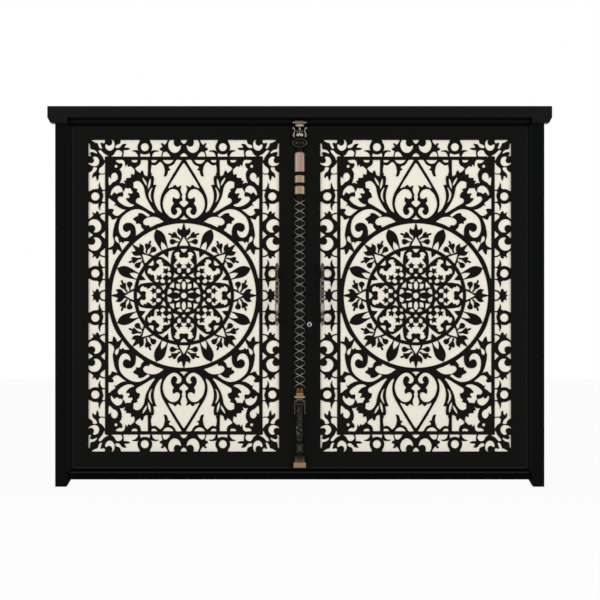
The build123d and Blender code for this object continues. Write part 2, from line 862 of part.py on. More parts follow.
# Lower shaft with a framed panel at its top and a relief block near its foot
with BuildPart() as column_lower_shaft:
    half_round(lower_shaft_radius, base_top, lower_shaft_top)
    plate_between(side_plate_half, side_plate_thickness, base_top, lower_shaft_top)
    block_foot = base_top + relief_block_rise
    plate_between(
        relief_block_width / 2, lower_shaft_radius + 2, block_foot, block_foot + relief_block_height
    )
    panel_foot = lower_shaft_top - frame_panel_height
    for bar_foot in (
        panel_foot, lower_shaft_top - frame_panel_height / 3 - frame_bar_width,
        lower_shaft_top - frame_bar_width,
    ):
        plate_between(
            side_plate_half - frame_bar_width / 2, frame_bar_projection, bar_foot, bar_foot + frame_bar_width
        )
    for hand in (1, -1):
        bar_between(
            hand * (side_plate_half - frame_bar_width), hand * side_plate_half,
            leaf_front - 2 * side_plate_thickness, leaf_front, panel_foot, lower_shaft_top,
        )
keep(column_lower_shaft.part, "column_lower_shaft")

# Collar: a drum that flares to a sharp flange
with BuildPart() as column_collar:
    flange_foot = lower_shaft_top + collar_flange_rise
    flange_top = flange_foot + 6.5
    half_turned(
        [(collar_radius + 1.5, lower_shaft_top), (collar_radius + 1, flange_foot - 6),
         (collar_flange_radius, flange_foot), (collar_flange_radius, flange_top),
         (collar_radius + 4, flange_top + 8), (collar_radius + 3, flange_top + 16),
         (collar_radius, flange_top + 26), (collar_radius, collar_top)]
    )
keep(column_collar.part, "column_collar")

with BuildPart() as column_shaft:
    half_round(shaft_radius, collar_top, shaft_top)
    plate_between(shaft_plate_half, shaft_plate_thickness, collar_top, shaft_top)
keep(column_shaft.part, "column_shaft")

# Gold bands between dark gaps
for name, radius, low, high in (
    ("column_lower_band", band_radius, shaft_top, lower_band_top),
    ("column_middle_gap", shaft_radius, lower_band_top, upper_band_foot),
    ("column_upper_band", band_radius, upper_band_foot, upper_band_top),
    ("column_upper_gap", shaft_radius, upper_band_top, neck_foot),
):
    with BuildPart() as drum:
        half_round(radius, low, high)
    keep(drum.part, name)

# Rose neck with upright ribs round its front
with BuildPart() as column_neck:
    half_round(neck_radius - rib_radius, neck_foot, dark_neck_foot)
    with BuildSketch(Plane.XY.offset(neck_foot)):
        with Locations((0, leaf_front)):
            with PolarLocations(
                neck_radius - rib_radius, rib_count, start_angle=-90 - 2 * rib_spread,
                angular_range=rib_count * rib_spread,
            ):
                Circle(rib_radius)
    extrude(amount=neck_height)
keep(column_neck.part, "column_neck")


def oval_bar(half_wide, half_high, bar, projection):
    """A flat oval hoop standing out from the stile's face at the ring's middle."""
    with BuildSketch(Plane.XZ.offset(-leaf_front)) as outline:
        with Locations((0, (ring_foot + capital_foot) / 2)):
            Ellipse(half_wide, half_high)
            Ellipse(half_wide - bar, half_high - bar, mode=Mode.SUBTRACT)
    extrude(outline.sketch, amount=projection)


# Dark neck and the oval ring over it, with a flatter oval inside
with BuildPart() as column_ring:
    half_round(dark_neck_radius, dark_neck_foot, capital_foot)
    oval_bar(ring_width / 2, ring_height / 2, ring_bar, ring_projection + ring_bar / 2)
    oval_bar(inner_oval_width / 2, inner_oval_height / 2, ring_bar / 2, ring_projection)
keep(column_ring.part, "column_ring")

# Capital: bell, echinus and bowed abacus, with a scroll at each side and a fan of leaves in front
with BuildSketch() as capital_fan:
    for tilt in (-68, -46, -23, 0, 23, 46, 68):
        lean = radians(90 - tilt)
        leaf((0, 0), (fan_reach * cos(lean), fan_reach * sin(lean)), fan_leaf_width)
with BuildSketch() as capital_scroll:
    stroke([(38, 66), (35.5, 56), (35, 44), (37, 32), (38, 20), (34, 9)], scroll_bar)
    with Locations((scroll_reach - 1, 62)):
        Circle(scroll_bar / 2)
    with Locations((scroll_reach - 5, 16)):
        Circle(scroll_bar / 2 + 2.5)
    mirror(about=Plane.YZ)

with BuildPart() as column_capital:
    half_turned(
        [(bell_foot_radius, capital_foot), (bell_foot_radius - 2, capital_foot + 14),
         (bell_foot_radius + 6, leaf_top - 17), (bell_top_radius, leaf_top)]
    )
    for outline, projection in ((capital_fan, fan_projection), (capital_scroll, scroll_depth)):
        with BuildSketch(Plane.XZ.offset(-leaf_front)):
            with Locations((0, capital_foot + fan_rise if outline is capital_fan else capital_foot)):
                add(outline.sketch)
        extrude(amount=projection)
    with BuildSketch(Plane.XZ.offset(capital_head_clearance - step_y)):
        abacus_foot = capital_top - abacus_height
        echinus_foot = abacus_foot - echinus_height
        with BuildLine():
            half = capital_width / 2
            tip_top = capital_top - abacus_height + abacus_tip_height
            Line((-half, abacus_foot), (half, abacus_foot))
            Line((half, abacus_foot), (half, tip_top))
            ThreePointArc((half, tip_top), (0, capital_top), (-half, tip_top))
            Line((-half, tip_top), (-half, abacus_foot))
        make_face()
        with Locations((0, echinus_foot + echinus_height / 2)):
            Rectangle(echinus_width, echinus_height)
    extrude(amount=step_y - capital_head_clearance - leaf_front + capital_projection)
keep(column_capital.part, "column_capital")
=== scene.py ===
"""Looks of a black steel double door: laser-cut panels over ivory board, a centre column and two pulls.

Metres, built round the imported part. X runs along the wall, -Y is the outside, Z is up.
"""

import random
from math import atan2, cos, dist, pi, radians, sin

import bpy
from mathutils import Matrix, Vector
from mathutils.geometry import delaunay_2d_cdt


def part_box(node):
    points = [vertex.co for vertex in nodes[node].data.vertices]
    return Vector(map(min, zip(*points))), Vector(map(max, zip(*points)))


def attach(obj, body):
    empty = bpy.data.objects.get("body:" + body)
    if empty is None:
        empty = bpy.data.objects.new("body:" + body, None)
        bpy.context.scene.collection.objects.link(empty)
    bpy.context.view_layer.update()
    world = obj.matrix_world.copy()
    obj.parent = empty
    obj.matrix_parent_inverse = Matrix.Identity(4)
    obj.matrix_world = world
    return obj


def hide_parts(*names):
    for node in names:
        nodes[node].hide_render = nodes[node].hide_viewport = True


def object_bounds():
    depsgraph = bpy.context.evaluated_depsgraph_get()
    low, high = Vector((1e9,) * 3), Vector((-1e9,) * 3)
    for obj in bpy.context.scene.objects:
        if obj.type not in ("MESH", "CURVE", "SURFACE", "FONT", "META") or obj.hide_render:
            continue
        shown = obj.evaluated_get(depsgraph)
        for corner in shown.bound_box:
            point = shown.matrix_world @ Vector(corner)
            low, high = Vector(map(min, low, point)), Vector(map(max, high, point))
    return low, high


MM = 0.001
# Soft patches of colour and dullness in a finish are about this wide
CLOUD_SIZE = 90 * MM
# Edges that turn more than these stay sharp in a smooth piece, and are rounded in a plain one
SHARP_EDGE, ROUNDED_EDGE = radians(38), radians(30)
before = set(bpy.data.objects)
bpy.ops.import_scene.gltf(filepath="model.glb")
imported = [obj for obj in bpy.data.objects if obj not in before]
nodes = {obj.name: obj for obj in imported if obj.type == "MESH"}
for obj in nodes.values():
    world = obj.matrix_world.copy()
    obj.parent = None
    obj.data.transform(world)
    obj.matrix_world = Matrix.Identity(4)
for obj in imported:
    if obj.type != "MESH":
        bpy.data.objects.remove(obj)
cad_low, cad_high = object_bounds()


def linear(hex_colour):
    """A linear colour from an sRGB hex one."""
    parts = [int(hex_colour[i : i + 2], 16) / 255 for i in (1, 3, 5)]
    return [p / 12.92 if p <= 0.04045 else ((p + 0.055) / 1.055) ** 2.4 for p in parts] + [1.0]


def add_node(tree, kind, settings=None, links=None):
    """Adds a node, sets its inputs or properties by name, and links its inputs to outputs."""
    node = tree.nodes.new(kind)
    for name, value in (settings or {}).items():
        if name in node.inputs:
            node.inputs[name].default_value = value
        else:
            setattr(node, name, value)
    for name, output in (links or {}).items():
        tree.links.new(output, node.inputs[name])
    return node


def finish_material(name, colour, metallic, roughness, grain, depth, second=None, wear=0.06, specular=0.5,
                    fade=None):
    """A finish: a colour, with a second one in soft patches, and a fine relief of a real grain size.

    fade gives an axis, where on it the fade starts and ends, and the colour it ends in.
    """
    material = bpy.data.materials.new(name)
    material.use_nodes = True
    tree = material.node_tree
    shader = tree.nodes["Principled BSDF"]
    shader.inputs["Base Color"].default_value = linear(colour)
    shader.inputs["Metallic"].default_value = metallic
    shader.inputs["Specular IOR Level"].default_value = specular
    place = add_node(tree, "ShaderNodeTexCoord").outputs["Object"]
    clouds = {"Scale": 1 / CLOUD_SIZE, "Detail": 4.0}
    patches = add_node(tree, "ShaderNodeTexNoise", clouds, {"Vector": place}).outputs["Fac"]
    share = patches
    if fade:
        axis, start, end, second = fade
        along = add_node(tree, "ShaderNodeSeparateXYZ", None, {"Vector": place}).outputs[axis]
        span_of_fade = {"From Min": start, "From Max": end}
        share = add_node(tree, "ShaderNodeMapRange", span_of_fade, {"Value": along}).outputs["Result"]
    if second:
        blend = add_node(tree, "ShaderNodeMix", {"data_type": "RGBA"}, {"Factor": share})
        blend.inputs["A"].default_value = linear(colour)
        blend.inputs["B"].default_value = linear(second)
        tree.links.new(blend.outputs["Result"], shader.inputs["Base Color"])
    range_of_wear = {"To Min": roughness - wear, "To Max": roughness + wear}
    dullness = add_node(tree, "ShaderNodeMapRange", range_of_wear, {"Value": patches})
    tree.links.new(dullness.outputs["Result"], shader.inputs["Roughness"])
    fine = add_node(tree, "ShaderNodeTexNoise", {"Scale": 1 / grain, "Detail": 2.0}, {"Vector": place})
    relief = add_node(
        tree, "ShaderNodeBump", {"Strength": 0.4, "Distance": depth}, {"Height": fine.outputs["Fac"]}
    )
    tree.links.new(relief.outputs["Normal"], shader.inputs["Normal"])
    return material


def powder_coated(name, colour, specular, roughness=0.4, grain=2.5 * MM, depth=0.03 * MM):
    """Powder coat baked on sheet steel: a satin black with a slight orange peel."""
    return finish_material(name, colour, 0.0, roughness, grain, depth, specular=specular)


def cast_metal(name, colour, second, roughness=0.42, depth=0.08 * MM, wear=0.1):
    """Cast metal with the grain of fine sand: its relief is shallower where it is rubbed or turned."""
    return finish_material(name, colour, 1.0, roughness, 1.2 * MM, depth, second, wear)


# Grain sizes are the real ones. They are finer than the photograph shows, and tell close up.
# The coat is satin on the bars. Its lighter copy on the cornice is painted light, and its darker
# copies on the jambs and on the low threshold are painted shade
powder_coat = powder_coated("powder_coated_steel", "#070706", 0.055)
cornice_painted_light_coat = powder_coated("cornice_powder_coat_painted_light", "#090B0A", 0.07)
jamb_painted_shade_coat = powder_coated("jamb_powder_coat_painted_shade", "#040605", 0.035, 0.42)
sill_painted_shade_coat = powder_coated("threshold_powder_coat_painted_shade", "#020202", 0.02, 0.5)
# The same coat on the cut sheet, which is a little warmer beside the ivory
cut_sheet_coat = powder_coated("powder_coated_cut_sheet", "#0B0907", 0.06, 0.42)
# Lighter copies of the coat: a painted highlight on the leaves' edges and on the threshold's tread, and
# painted light on the slanted face of the jambs
painted_highlight_coat = powder_coated("steel_powder_coat_painted_highlight", "#0C0E0D", 0.09, 0.35, 1 * MM, 0.02 * MM)
painted_light_slant_coat = powder_coated("splay_powder_coat_painted_light", "#121413", 0.07, 0.45)
# Lacquered board: even ivory with a hardly visible cloud in it
ivory_board = finish_material("ivory_lacquered_board", "#F5EFE1", 0.0, 0.55, 4 * MM, 0.02 * MM, "#F3EDDB")
# Spun and lacquered copper alloy, softly shining. The neck's olive-gold left and rose right are a painted
# reflection, and the bands are pale gold
painted_reflection_bronze = finish_material("rose_bronze_lacquered", "#8D8272", 1.0, 0.5, 1.5 * MM, 0.02 * MM,
                                  fade=("X", -3 * MM, 5 * MM, "#8E7269"))
pale_bronze = finish_material("pale_bronze_lacquered", "#8F7E68", 1.0, 0.5, 1.5 * MM, 0.02 * MM, "#85745F")
# Cast bronze: brown on the collar's drum. Lighter copies on the collar's cone and flange and on the plinth
# are painted light, the base's drum darkens upwards, and the capital's nearly black bell is painted shade
aged_bronze = cast_metal("aged_bronze_cast", "#5A4124", "#46321A")
cone_lit_bronze = cast_metal("bronze_cone_painted_light", "#7A6244", "#6A543A", depth=0.06 * MM)
flange_lit_bronze = cast_metal("bronze_flange_painted_highlight", "#A08A6C", "#8C7658", depth=0.06 * MM)
plinth_lit_bronze = cast_metal("bronze_plinth_painted_light", "#8C7254", "#826848", depth=0.06 * MM)
capital_shade_bronze = cast_metal("bronze_painted_shade_capital", "#100E0A", "#0A0907", 0.5)
upward_darkening_bronze = finish_material("bronze_darker_upwards", "#493B29", 1.0, 0.46, 1.2 * MM, 0.08 * MM,
                               fade=("Z", 108 * MM, 140 * MM, "#201C18"))
# Cast pewter: a grey body, warm on the flower and dark in the hollows, with a brighter copy of painted
# highlight on the high leaves
pewter = cast_metal("pewter_cast", "#7E7873", "#68625C")
pale_pewter = cast_metal("pewter_cast_warm", "#9A8F79", "#857A64")
highlight_pewter = cast_metal("pewter_cast_painted_highlight", "#A5A195", "#959184", 0.38, 0.06 * MM)
filigree_pewter = cast_metal("pewter_filigree_dull", "#4A453D", "#38352E", depth=0.06 * MM)
dark_pewter = cast_metal("pewter_blackened", "#3A3833", "#262521")
# Turned metal of the pulls, smoother than cast, in copies of one metal: bright beads of painted highlight
# between grey and brown waists of painted shade
pull_highlight_pewter = cast_metal("pewter_turned_painted_highlight", "#8B847C", "#746C65", 0.36, 0.03 * MM, 0.08)
mid_pewter = cast_metal("pewter_turned_mid_tone", "#5F5A57", "#504B48", 0.4, 0.03 * MM, 0.08)
pull_shade_metal = cast_metal("pull_metal_painted_shade", "#3A2C24", "#2A201A", depth=0.03 * MM, wear=0.08)
# Drawn nickel silver: pale, slightly yellow wires that glint along their crowns
nickel_wire = finish_material("nickel_silver_wire", "#969082", 1.0, 0.36, 1 * MM, 0.02 * MM)
# Satin chrome plate: a light, nearly clear reflection
chrome = finish_material("chromed_brass_satin", "#9E9FA1", 1.0, 0.26, 1 * MM, 0.005 * MM, wear=0.02)
# Bare machined steel of the bolts and the faceplate: plain grey with a fine tooth
bare_steel = finish_material("machined_steel_bare", "#76787B", 1.0, 0.34, 0.8 * MM, 0.02 * MM)
# Phosphated steel of the pivots: almost black
black_oxide = finish_material("phosphated_steel", "#1B1B1C", 1.0, 0.5, 0.8 * MM, 0.02 * MM)
# Rubber brush pile between the leaves: dull black. The same black is painted shade on the head's slopes and
# in the lock's keyway
seal_and_painted_shade = finish_material("rubber_and_painted_shade", "#050505", 0.0, 0.8, 0.8 * MM, 0.2 * MM, specular=0.04)


def add_piece(name, verts, faces, finish, body, smooth=False, replaced=(), bevel=0.0):
    """A mesh piece that rides on a body, with its finish and the nodes it stands for."""
    mesh = bpy.data.meshes.new(name)
    mesh.from_pydata([tuple(v) for v in verts], [], faces)
    mesh.validate()
    return settle(bpy.data.objects.new(name, mesh), finish, body, smooth, replaced, bevel)


def settle(piece, finish, body, smooth=False, replaced=(), bevel=0.0):
    """Gives a new piece its finish, body and edges."""
    bpy.context.scene.collection.objects.link(piece)
    piece.data.materials.clear()
    piece.data.materials.append(finish)
    for face in piece.data.polygons:
        face.use_smooth = smooth
    if smooth:
        piece.data.set_sharp_from_angle(angle=SHARP_EDGE)
    if bevel:
        rounding = piece.modifiers.new("edges", "BEVEL")
        rounding.width = bevel
        rounding.segments = 2
        rounding.limit_method = "ANGLE"
        rounding.angle_limit = ROUNDED_EDGE
        rounding.harden_normals = False
    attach(piece, body)
    if replaced:
        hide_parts(*replaced)
    return piece


class Solid:
    """Vertices and faces of a piece made of several closed forms."""

    def __init__(self):
        self.verts, self.faces = [], []

    def add(self, verts, faces):
        """Takes in one more form."""
        start = len(self.verts)
        self.verts += verts
        self.faces += [[start + i for i in face] for face in faces]

    def box(self, x0, x1, y0, y1, z0, z1):
        """A block between two corners, given in any order."""
        (x0, x1), (y0, y1), (z0, z1) = sorted((x0, x1)), sorted((y0, y1)), sorted((z0, z1))
        corners = [(x, y, z) for z in (z0, z1) for x, y in ((x0, y0), (x1, y0), (x1, y1), (x0, y1))]
        sides = [(0, 1, 5, 4), (1, 2, 6, 5), (2, 3, 7, 6), (3, 0, 4, 7)]
        self.add(corners, [(3, 2, 1, 0), (4, 5, 6, 7)] + sides)

    def rows(self, rows, caps=True):
        """Skins rows of points, each of which closes on itself, and caps the first and last."""
        n = len(rows[0])
        faces = []
        for i in range(len(rows) - 1):
            for k in range(n):
                a, b = i * n + k, i * n + (k + 1) % n
                faces.append((a, b, b + n, a + n))
        if caps:
            faces.append(list(range(n))[::-1])
            faces.append([(len(rows) - 1) * n + k for k in range(n)])
        self.add([p for row in rows for p in row], faces)

    def half_turned(self, profile, x, back_y, shape=None, bow=0.0, steps=28):
        """A half-round form against a face. profile gives (radius, z); shape scales the radius by angle."""
        rows = []
        for radius, z in profile:
            row = []
            for k in range(steps + 1):
                a = pi * k / steps
                r = radius * (shape(a) if shape else 1)
                row.append((x - r * cos(a), back_y - r * sin(a), z + bow * sin(a) ** 2))
            rows.append(row)
        self.rows(rows)

    def turned(self, profile, x, z):
        """A round form about an axis along Y through (x, z). profile gives (radius, y)."""
        turns = [2 * pi * k / 32 for k in range(32)]
        self.rows([[(x + r * cos(t), y, z + r * sin(t)) for t in turns] for r, y in profile])

    def tube(self, path, radius, sides=6):
        """A round bar along a path. radius may change along it as a list."""
        rows = []
        for i, p in enumerate(path):
            ahead = Vector(path[min(i + 1, len(path) - 1)]) - Vector(path[max(i - 1, 0)])
            ahead.normalize()
            across = ahead.cross(Vector((0, 1, 0)))
            if across.length < 0.1:
                across = ahead.cross(Vector((1, 0, 0)))
            across.normalize()
            up = across.cross(ahead)
            r = radius[i] if isinstance(radius, list) else radius
            turns = [2 * pi * k / sides for k in range(sides)]
            rows.append([tuple(Vector(p) + r * (cos(t) * across + sin(t) * up)) for t in turns])
        self.rows(rows)

    def ball(self, x, y, z, rx, ry, rz, steps):
        """A round or oval bud with its middle and its three half sizes."""
        rows = []
        turns = [pi * k / steps for k in range(2 * steps)]
        for i in range(1, steps):
            a = pi * i / steps
            rows.append([(x + rx * sin(a) * cos(t), y + ry * sin(a) * sin(t), z - rz * cos(a))
                         for t in turns])
        self.rows(rows)

    def buds(self, front_y, level, *rows):
        """Buds on a face. Each row gives x, how far it stands forward, its height and half sizes in mm."""
        for x, forward, z, rx, ry, rz, steps in rows:
            self.ball(x * MM, front_y - forward * MM, level + z * MM, rx * MM, ry * MM, rz * MM, steps)

    def piece(self, name, finish, body, slot, smooth=True, replaced=(), bevel=0.0):
        """Makes one piece of all forms taken in."""
        return add_piece(name, self.verts, self.faces, finish, body, smooth, replaced, bevel)


# Ornament of the two panels, drawn once for the upper left quarter of a panel.
# The drawing's own grid is laid over one panel: GRID_MIDDLE is the panel's middle and one
# grid step is GRID_STEP. Shapes are painted in order: a cut opens the sheet, ink is steel.
GRID_MIDDLE = (184.0, 295.5)
GRID_STEP = 6.313 * MM
SHEET_LEFT, SHEET_TOP = 88.6, 139.6
BAR_LEFT, BAR_TOP, BAR_INNER_LEFT, BAR_INNER_TOP = 105.1, 156.3, 108.5, 159.5
STRIP_MIDDLE = 234.8
# An outline keeps a corner that turns more than this, and doesn't round a span shorter than that
SHARP_TURN = radians(58)
SHORT_SPAN = 0.4
# The medallion's outer ring and the outer edge of its middle ring, which is slightly flat
OUTER_RING, MIDDLE_RING = (72.3, 76.0), 50.3
MEDALLION_FLATNESS = 0.994
# The drawing runs on this far behind the leaf's lip
HIDDEN_EDGE = 1.4
# Points of the drawing that are closer than this are one
SAME_POINT = 1e-4
# The ornament keeps its place up to close to the sheet's edge, and the edge stays: a power of the way out
EDGE_HOLD = 12
shapes = []


def turn_at(a, b, c):
    """How far a path turns at b."""
    first, second = atan2(b[1] - a[1], b[0] - a[0]), atan2(c[1] - b[1], c[0] - b[0])
    return abs((second - first + pi) % (2 * pi) - pi)


def flowing(points):
    """A closed outline that runs smoothly through the points and keeps its sharp corners."""
    n, parts = len(points), 4
    sharp = [turn_at(points[i - 1], points[i], points[(i + 1) % n]) > SHARP_TURN for i in range(n)]
    out = []
    for i in range(n):
        a, b = points[i], points[(i + 1) % n]
        length = dist(a, b)
        before, after = points[i - 1], points[(i + 2) % n]
        lead = chord_slope(a if sharp[i] else before, a, b, length)
        trail = chord_slope(a, b, b if sharp[(i + 1) % n] else after, length)
        pieces = 1 if length < SHORT_SPAN or (sharp[i] and sharp[(i + 1) % n]) else parts
        for k in range(pieces):
            s = k / pieces
            h = (2 * s**3 - 3 * s**2 + 1, s**3 - 2 * s**2 + s, 3 * s**2 - 2 * s**3, s**3 - s**2)
            out.append(tuple(h[0] * a[j] + h[1] * lead[j] + h[2] * b[j] + h[3] * trail[j] for j in (0, 1)))
    return out


def chord_slope(a, b, c, length):
    """The slope of a path at b, scaled to the length of one span."""
    reach = dist(a, b) + dist(b, c)
    return [(c[j] - a[j]) / reach * length for j in (0, 1)]


def cut(*points):
    """A hole in the sheet."""
    shapes.append((False, flowing(points)))


def ink(*points):
    """Steel that is left over the cuts before it."""
    shapes.append((True, flowing(points)))


def disc(steel, x, y, radius, other=None, sides=40):
    """A round, or an oval where a second radius is given."""
    other = other or radius
    turns = [2 * pi * k / sides for k in range(sides)]
    shapes.append((steel, [(x + radius * cos(t), y + other * sin(t)) for t in turns]))


def both_ends(steel, *points):
    """A shape of the side strip and its reflection in the strip's middle."""
    shapes.append((steel, flowing(points)))
    shapes.append((steel, flowing([(x, 2 * STRIP_MIDDLE - y) for x, y in points])))


def draw_corner():
    """The corner of the border, where the two strips meet in leaves."""
    cut((91.7, 140.1), (95.2, 142.1), (97.8, 143), (98.1, 144.2), (98.9, 146.4), (100.3, 148.1),
        (101.4, 148.3), (102.2, 147.5), (101.3, 145.6), (100.5, 143), (101.6, 142), (103.4, 142.9),
        (104.8, 142.2), (105.1, 140.4), (104.6, 139.6), (92, 139.6))
    cut((88.6, 143), (89.6, 143), (90.1, 144.4), (90.4, 147.2), (91.3, 149), (93.4, 149.3), (95.3, 150.3),
        (96.9, 151.9), (97.2, 152.7), (96.4, 153.4), (94.6, 152.3), (92, 151.6), (90.3, 152.2), (90.2, 153.8),
        (91.2, 155.4), (89.8, 156.1), (88.6, 155.4))
    cut((98.3, 150.6), (100, 149.7), (101.7, 150.5), (103.9, 152.9), (106.4, 154.5), (108.9, 155.7),
        (105.5, 156.2), (104.9, 157.2), (104.9, 160), (104.2, 159.9), (102.6, 156.4), (100, 153.2))
    cut((111.2, 139.6), (112.2, 140.6), (112, 143), (110.4, 145), (108.2, 145.1), (106.8, 144.1),
        (105.6, 143.9), (105.1, 145.6), (106.1, 148.2), (108.3, 150.1), (110.6, 150.3), (112.8, 149.1),
        (114.4, 146.6), (114.7, 143.6), (114, 141), (112.9, 139.6))
    cut((111.2, 156.2), (114.1, 153.9), (116.3, 150.4), (118.8, 149.8), (121.1, 150.8), (122.3, 153.2),
        (121.4, 156.2))
    cut((88.6, 162.2), (90, 162.8), (92.3, 162.8), (93.9, 161), (93.8, 158.9), (92.9, 157.6), (93.6, 156.4),
        (95.6, 156.3), (97.9, 157.6), (99.2, 160.2), (99, 163), (97.4, 165.1), (95, 166), (92, 165.4),
        (89.8, 164.4), (88.5, 163.4))
    cut((105.1, 161.6), (104.1, 163.6), (101.9, 166.3), (99.3, 168.3), (98.8, 171.1), (100, 172.9),
        (102.6, 173.4), (105.1, 172.7))


def draw_top_strip():
    """The border's top strip: a thorned ring, and half of a crescent ring with its leaf and stem."""
    cut((121, 139.6), (119.9, 143.2), (116.3, 144.8), (115.3, 146.5), (116, 147.8), (118, 147.6),
        (121, 150.4), (122.4, 156.4), (184.5, 156.4), (184.5, 139.6))
    ink((115.4, 148.7), (118.4, 147.8), (120.6, 146.2), (122.2, 144.1), (124.3, 143.3), (126.8, 143.5),
        (125.6, 145), (124.7, 146.6), (125.2, 147.5), (127.6, 147.3), (130.4, 148.2), (128.4, 149.5),
        (125.6, 149.9), (123.7, 149.9), (123.9, 152.4), (123.2, 156.6), (121.6, 156.6), (122.4, 153.1),
        (121.2, 150.8), (118.8, 149.7), (116.3, 150.2))
    # Ring of the strip, with a thorn to each side
    disc(True, 144.95, 146.8, 7.4)
    ink((140.2, 139.3), (149.7, 139.3), (150.6, 141.6), (139.4, 141.6))
    ink((131.6, 150.6), (134.4, 149.8), (137.8, 150), (140.6, 152.6), (140, 156.6), (138.2, 156.6),
        (137.6, 154.4), (136.2, 152.4), (134, 151.3))
    ink((159.1, 151.4), (157.9, 150.2), (155.2, 149.8), (152.4, 150.3), (149.6, 152.4), (150.4, 156.6),
        (152, 156.6), (153, 153.4), (155.2, 151.6), (157.4, 151.3))
    disc(False, 144.95, 146.8, 4.0)
    # Crescent ring at the strip's middle, its leaf and stem
    ink((160.9, 143.2), (162, 142.7), (163.3, 143.1), (164.4, 144.7), (166.6, 142.3), (168, 139.4),
        (180.2, 139.4), (182, 142.2), (184.5, 144.4), (184.5, 152.4), (181.6, 154), (179.8, 156.6),
        (171.2, 156.6), (169.2, 153.9), (167.5, 152.1), (165.7, 151.4), (163.8, 152), (163, 153.6),
        (162.4, 156.6), (161.2, 156.6), (161.9, 153.6), (162.6, 150.7), (160.6, 150), (159.8, 148.8),
        (160.6, 147.5), (162.3, 147.1), (162.3, 145.6))
    cut((169.9, 139.6), (168.6, 142.6), (168.4, 145.8), (169.4, 148.9), (171.4, 151.3), (174, 152.5),
        (176.6, 152.2), (179, 150.7), (180.7, 148), (181.2, 145.1), (180.3, 144.9), (179, 145.9),
        (177.2, 146.2), (175.4, 145.5), (174.3, 143.9), (174, 142), (174.3, 139.6))


def draw_side_strip():
    """The border's side strip down to the panel's middle."""
    cut((88.6, 172.5), (90.8, 171.4), (92.6, 169.5), (93, 167.3), (94.9, 167), (96.9, 167.3), (98, 171),
        (99, 174.2), (105.1, 173.6), (105.1, 296), (88.6, 296))
    ink((97, 166), (96.9, 168.9), (95.4, 171.3), (92.9, 173.6), (92.3, 177.6), (93, 177.9), (94.8, 175.9),
        (96, 176.2), (96.5, 179), (97.1, 180.8), (98.6, 178.5), (99, 175.4), (100.4, 174.2), (102.6, 174.4),
        (105.2, 173.6), (105.2, 172.6), (102.6, 173.5), (100, 173), (98.8, 171.1), (99.3, 168.3))
    # Rings with their thorns, one at each end of the side strip
    for y in (196.3, 2 * STRIP_MIDDLE - 196.3):
        disc(True, 95.4, y, 7.5)
        ink((88.2, y - 5), (91.4, y - 6), (91.4, y + 6), (88.2, y + 5))
    both_ends(True, (99.8, 181.9), (98.5, 185.4), (98.9, 187.5), (96, 189.5), (98, 195), (103.4, 196.8),
              (103.2, 193.9), (102.2, 192), (103, 190.9), (105.3, 190.8), (105.3, 189.5), (102.6, 189.4),
              (101.4, 187.6), (100.2, 185))
    both_ends(True, (100.4, 210.4), (99.3, 208.9), (98.4, 206.2), (98.6, 203.2), (96, 202), (99, 196),
              (103.3, 196.6), (102.6, 199), (102, 200.4), (103.2, 201.6), (105.3, 201.6), (105.3, 202.9),
              (102.7, 203.1), (101.3, 204.5), (100.3, 207))
    for y in (196.3, 2 * STRIP_MIDDLE - 196.3):
        disc(False, 95.4, y, 4.1)
    # Crescent rings in pairs, each with a leaf
    both_ends(True, (88.3, 219.5), (90.2, 218.1), (92.8, 215.9), (93.2, 214.6), (92.3, 212.6), (92.8, 211.9),
              (94.4, 213.2), (95.7, 213), (96.4, 211.2), (97.4, 210.8), (98.9, 212.3), (99.5, 214.1),
              (102.4, 212.7), (105.3, 212.4), (105.3, 213.8), (102.8, 214.1), (101, 215), (100.2, 216.3),
              (101, 218), (103.2, 220), (105.3, 222.3), (105.3, 231.6), (101.3, 234.9), (92.7, 234.9),
              (88.3, 231.8))
    both_ends(False, (88.4, 225.4), (88.6, 222.4), (90.7, 220), (94, 219.1), (97.2, 219.7), (100, 222.2),
              (101.4, 225.8), (100.9, 229), (98.9, 231.3), (96.3, 232.3), (93.5, 232), (95, 229.8),
              (95.2, 227.8), (94.2, 225.8), (92.3, 224.9), (90.2, 225.1), (89, 225.9))
    cut((88.4, 231.2), (93.2, 234.8), (88.4, 238.4))
    cut((105.1, 230.8), (100.9, 234.8), (105.1, 238.8))
    # Double leaf at the panel's middle height
    ink((92.4, 290.3), (94.2, 291.3), (95.5, 291.1), (96.4, 289.1), (97.6, 288.5), (98.8, 290), (99.5, 292.4),
        (101.6, 290.5), (105.3, 289.7), (105.3, 291.2), (102.2, 292), (100.3, 294.4), (100.1, 296),
        (91.4, 296), (91.4, 295.4), (93.3, 294.6), (93.4, 292.9))


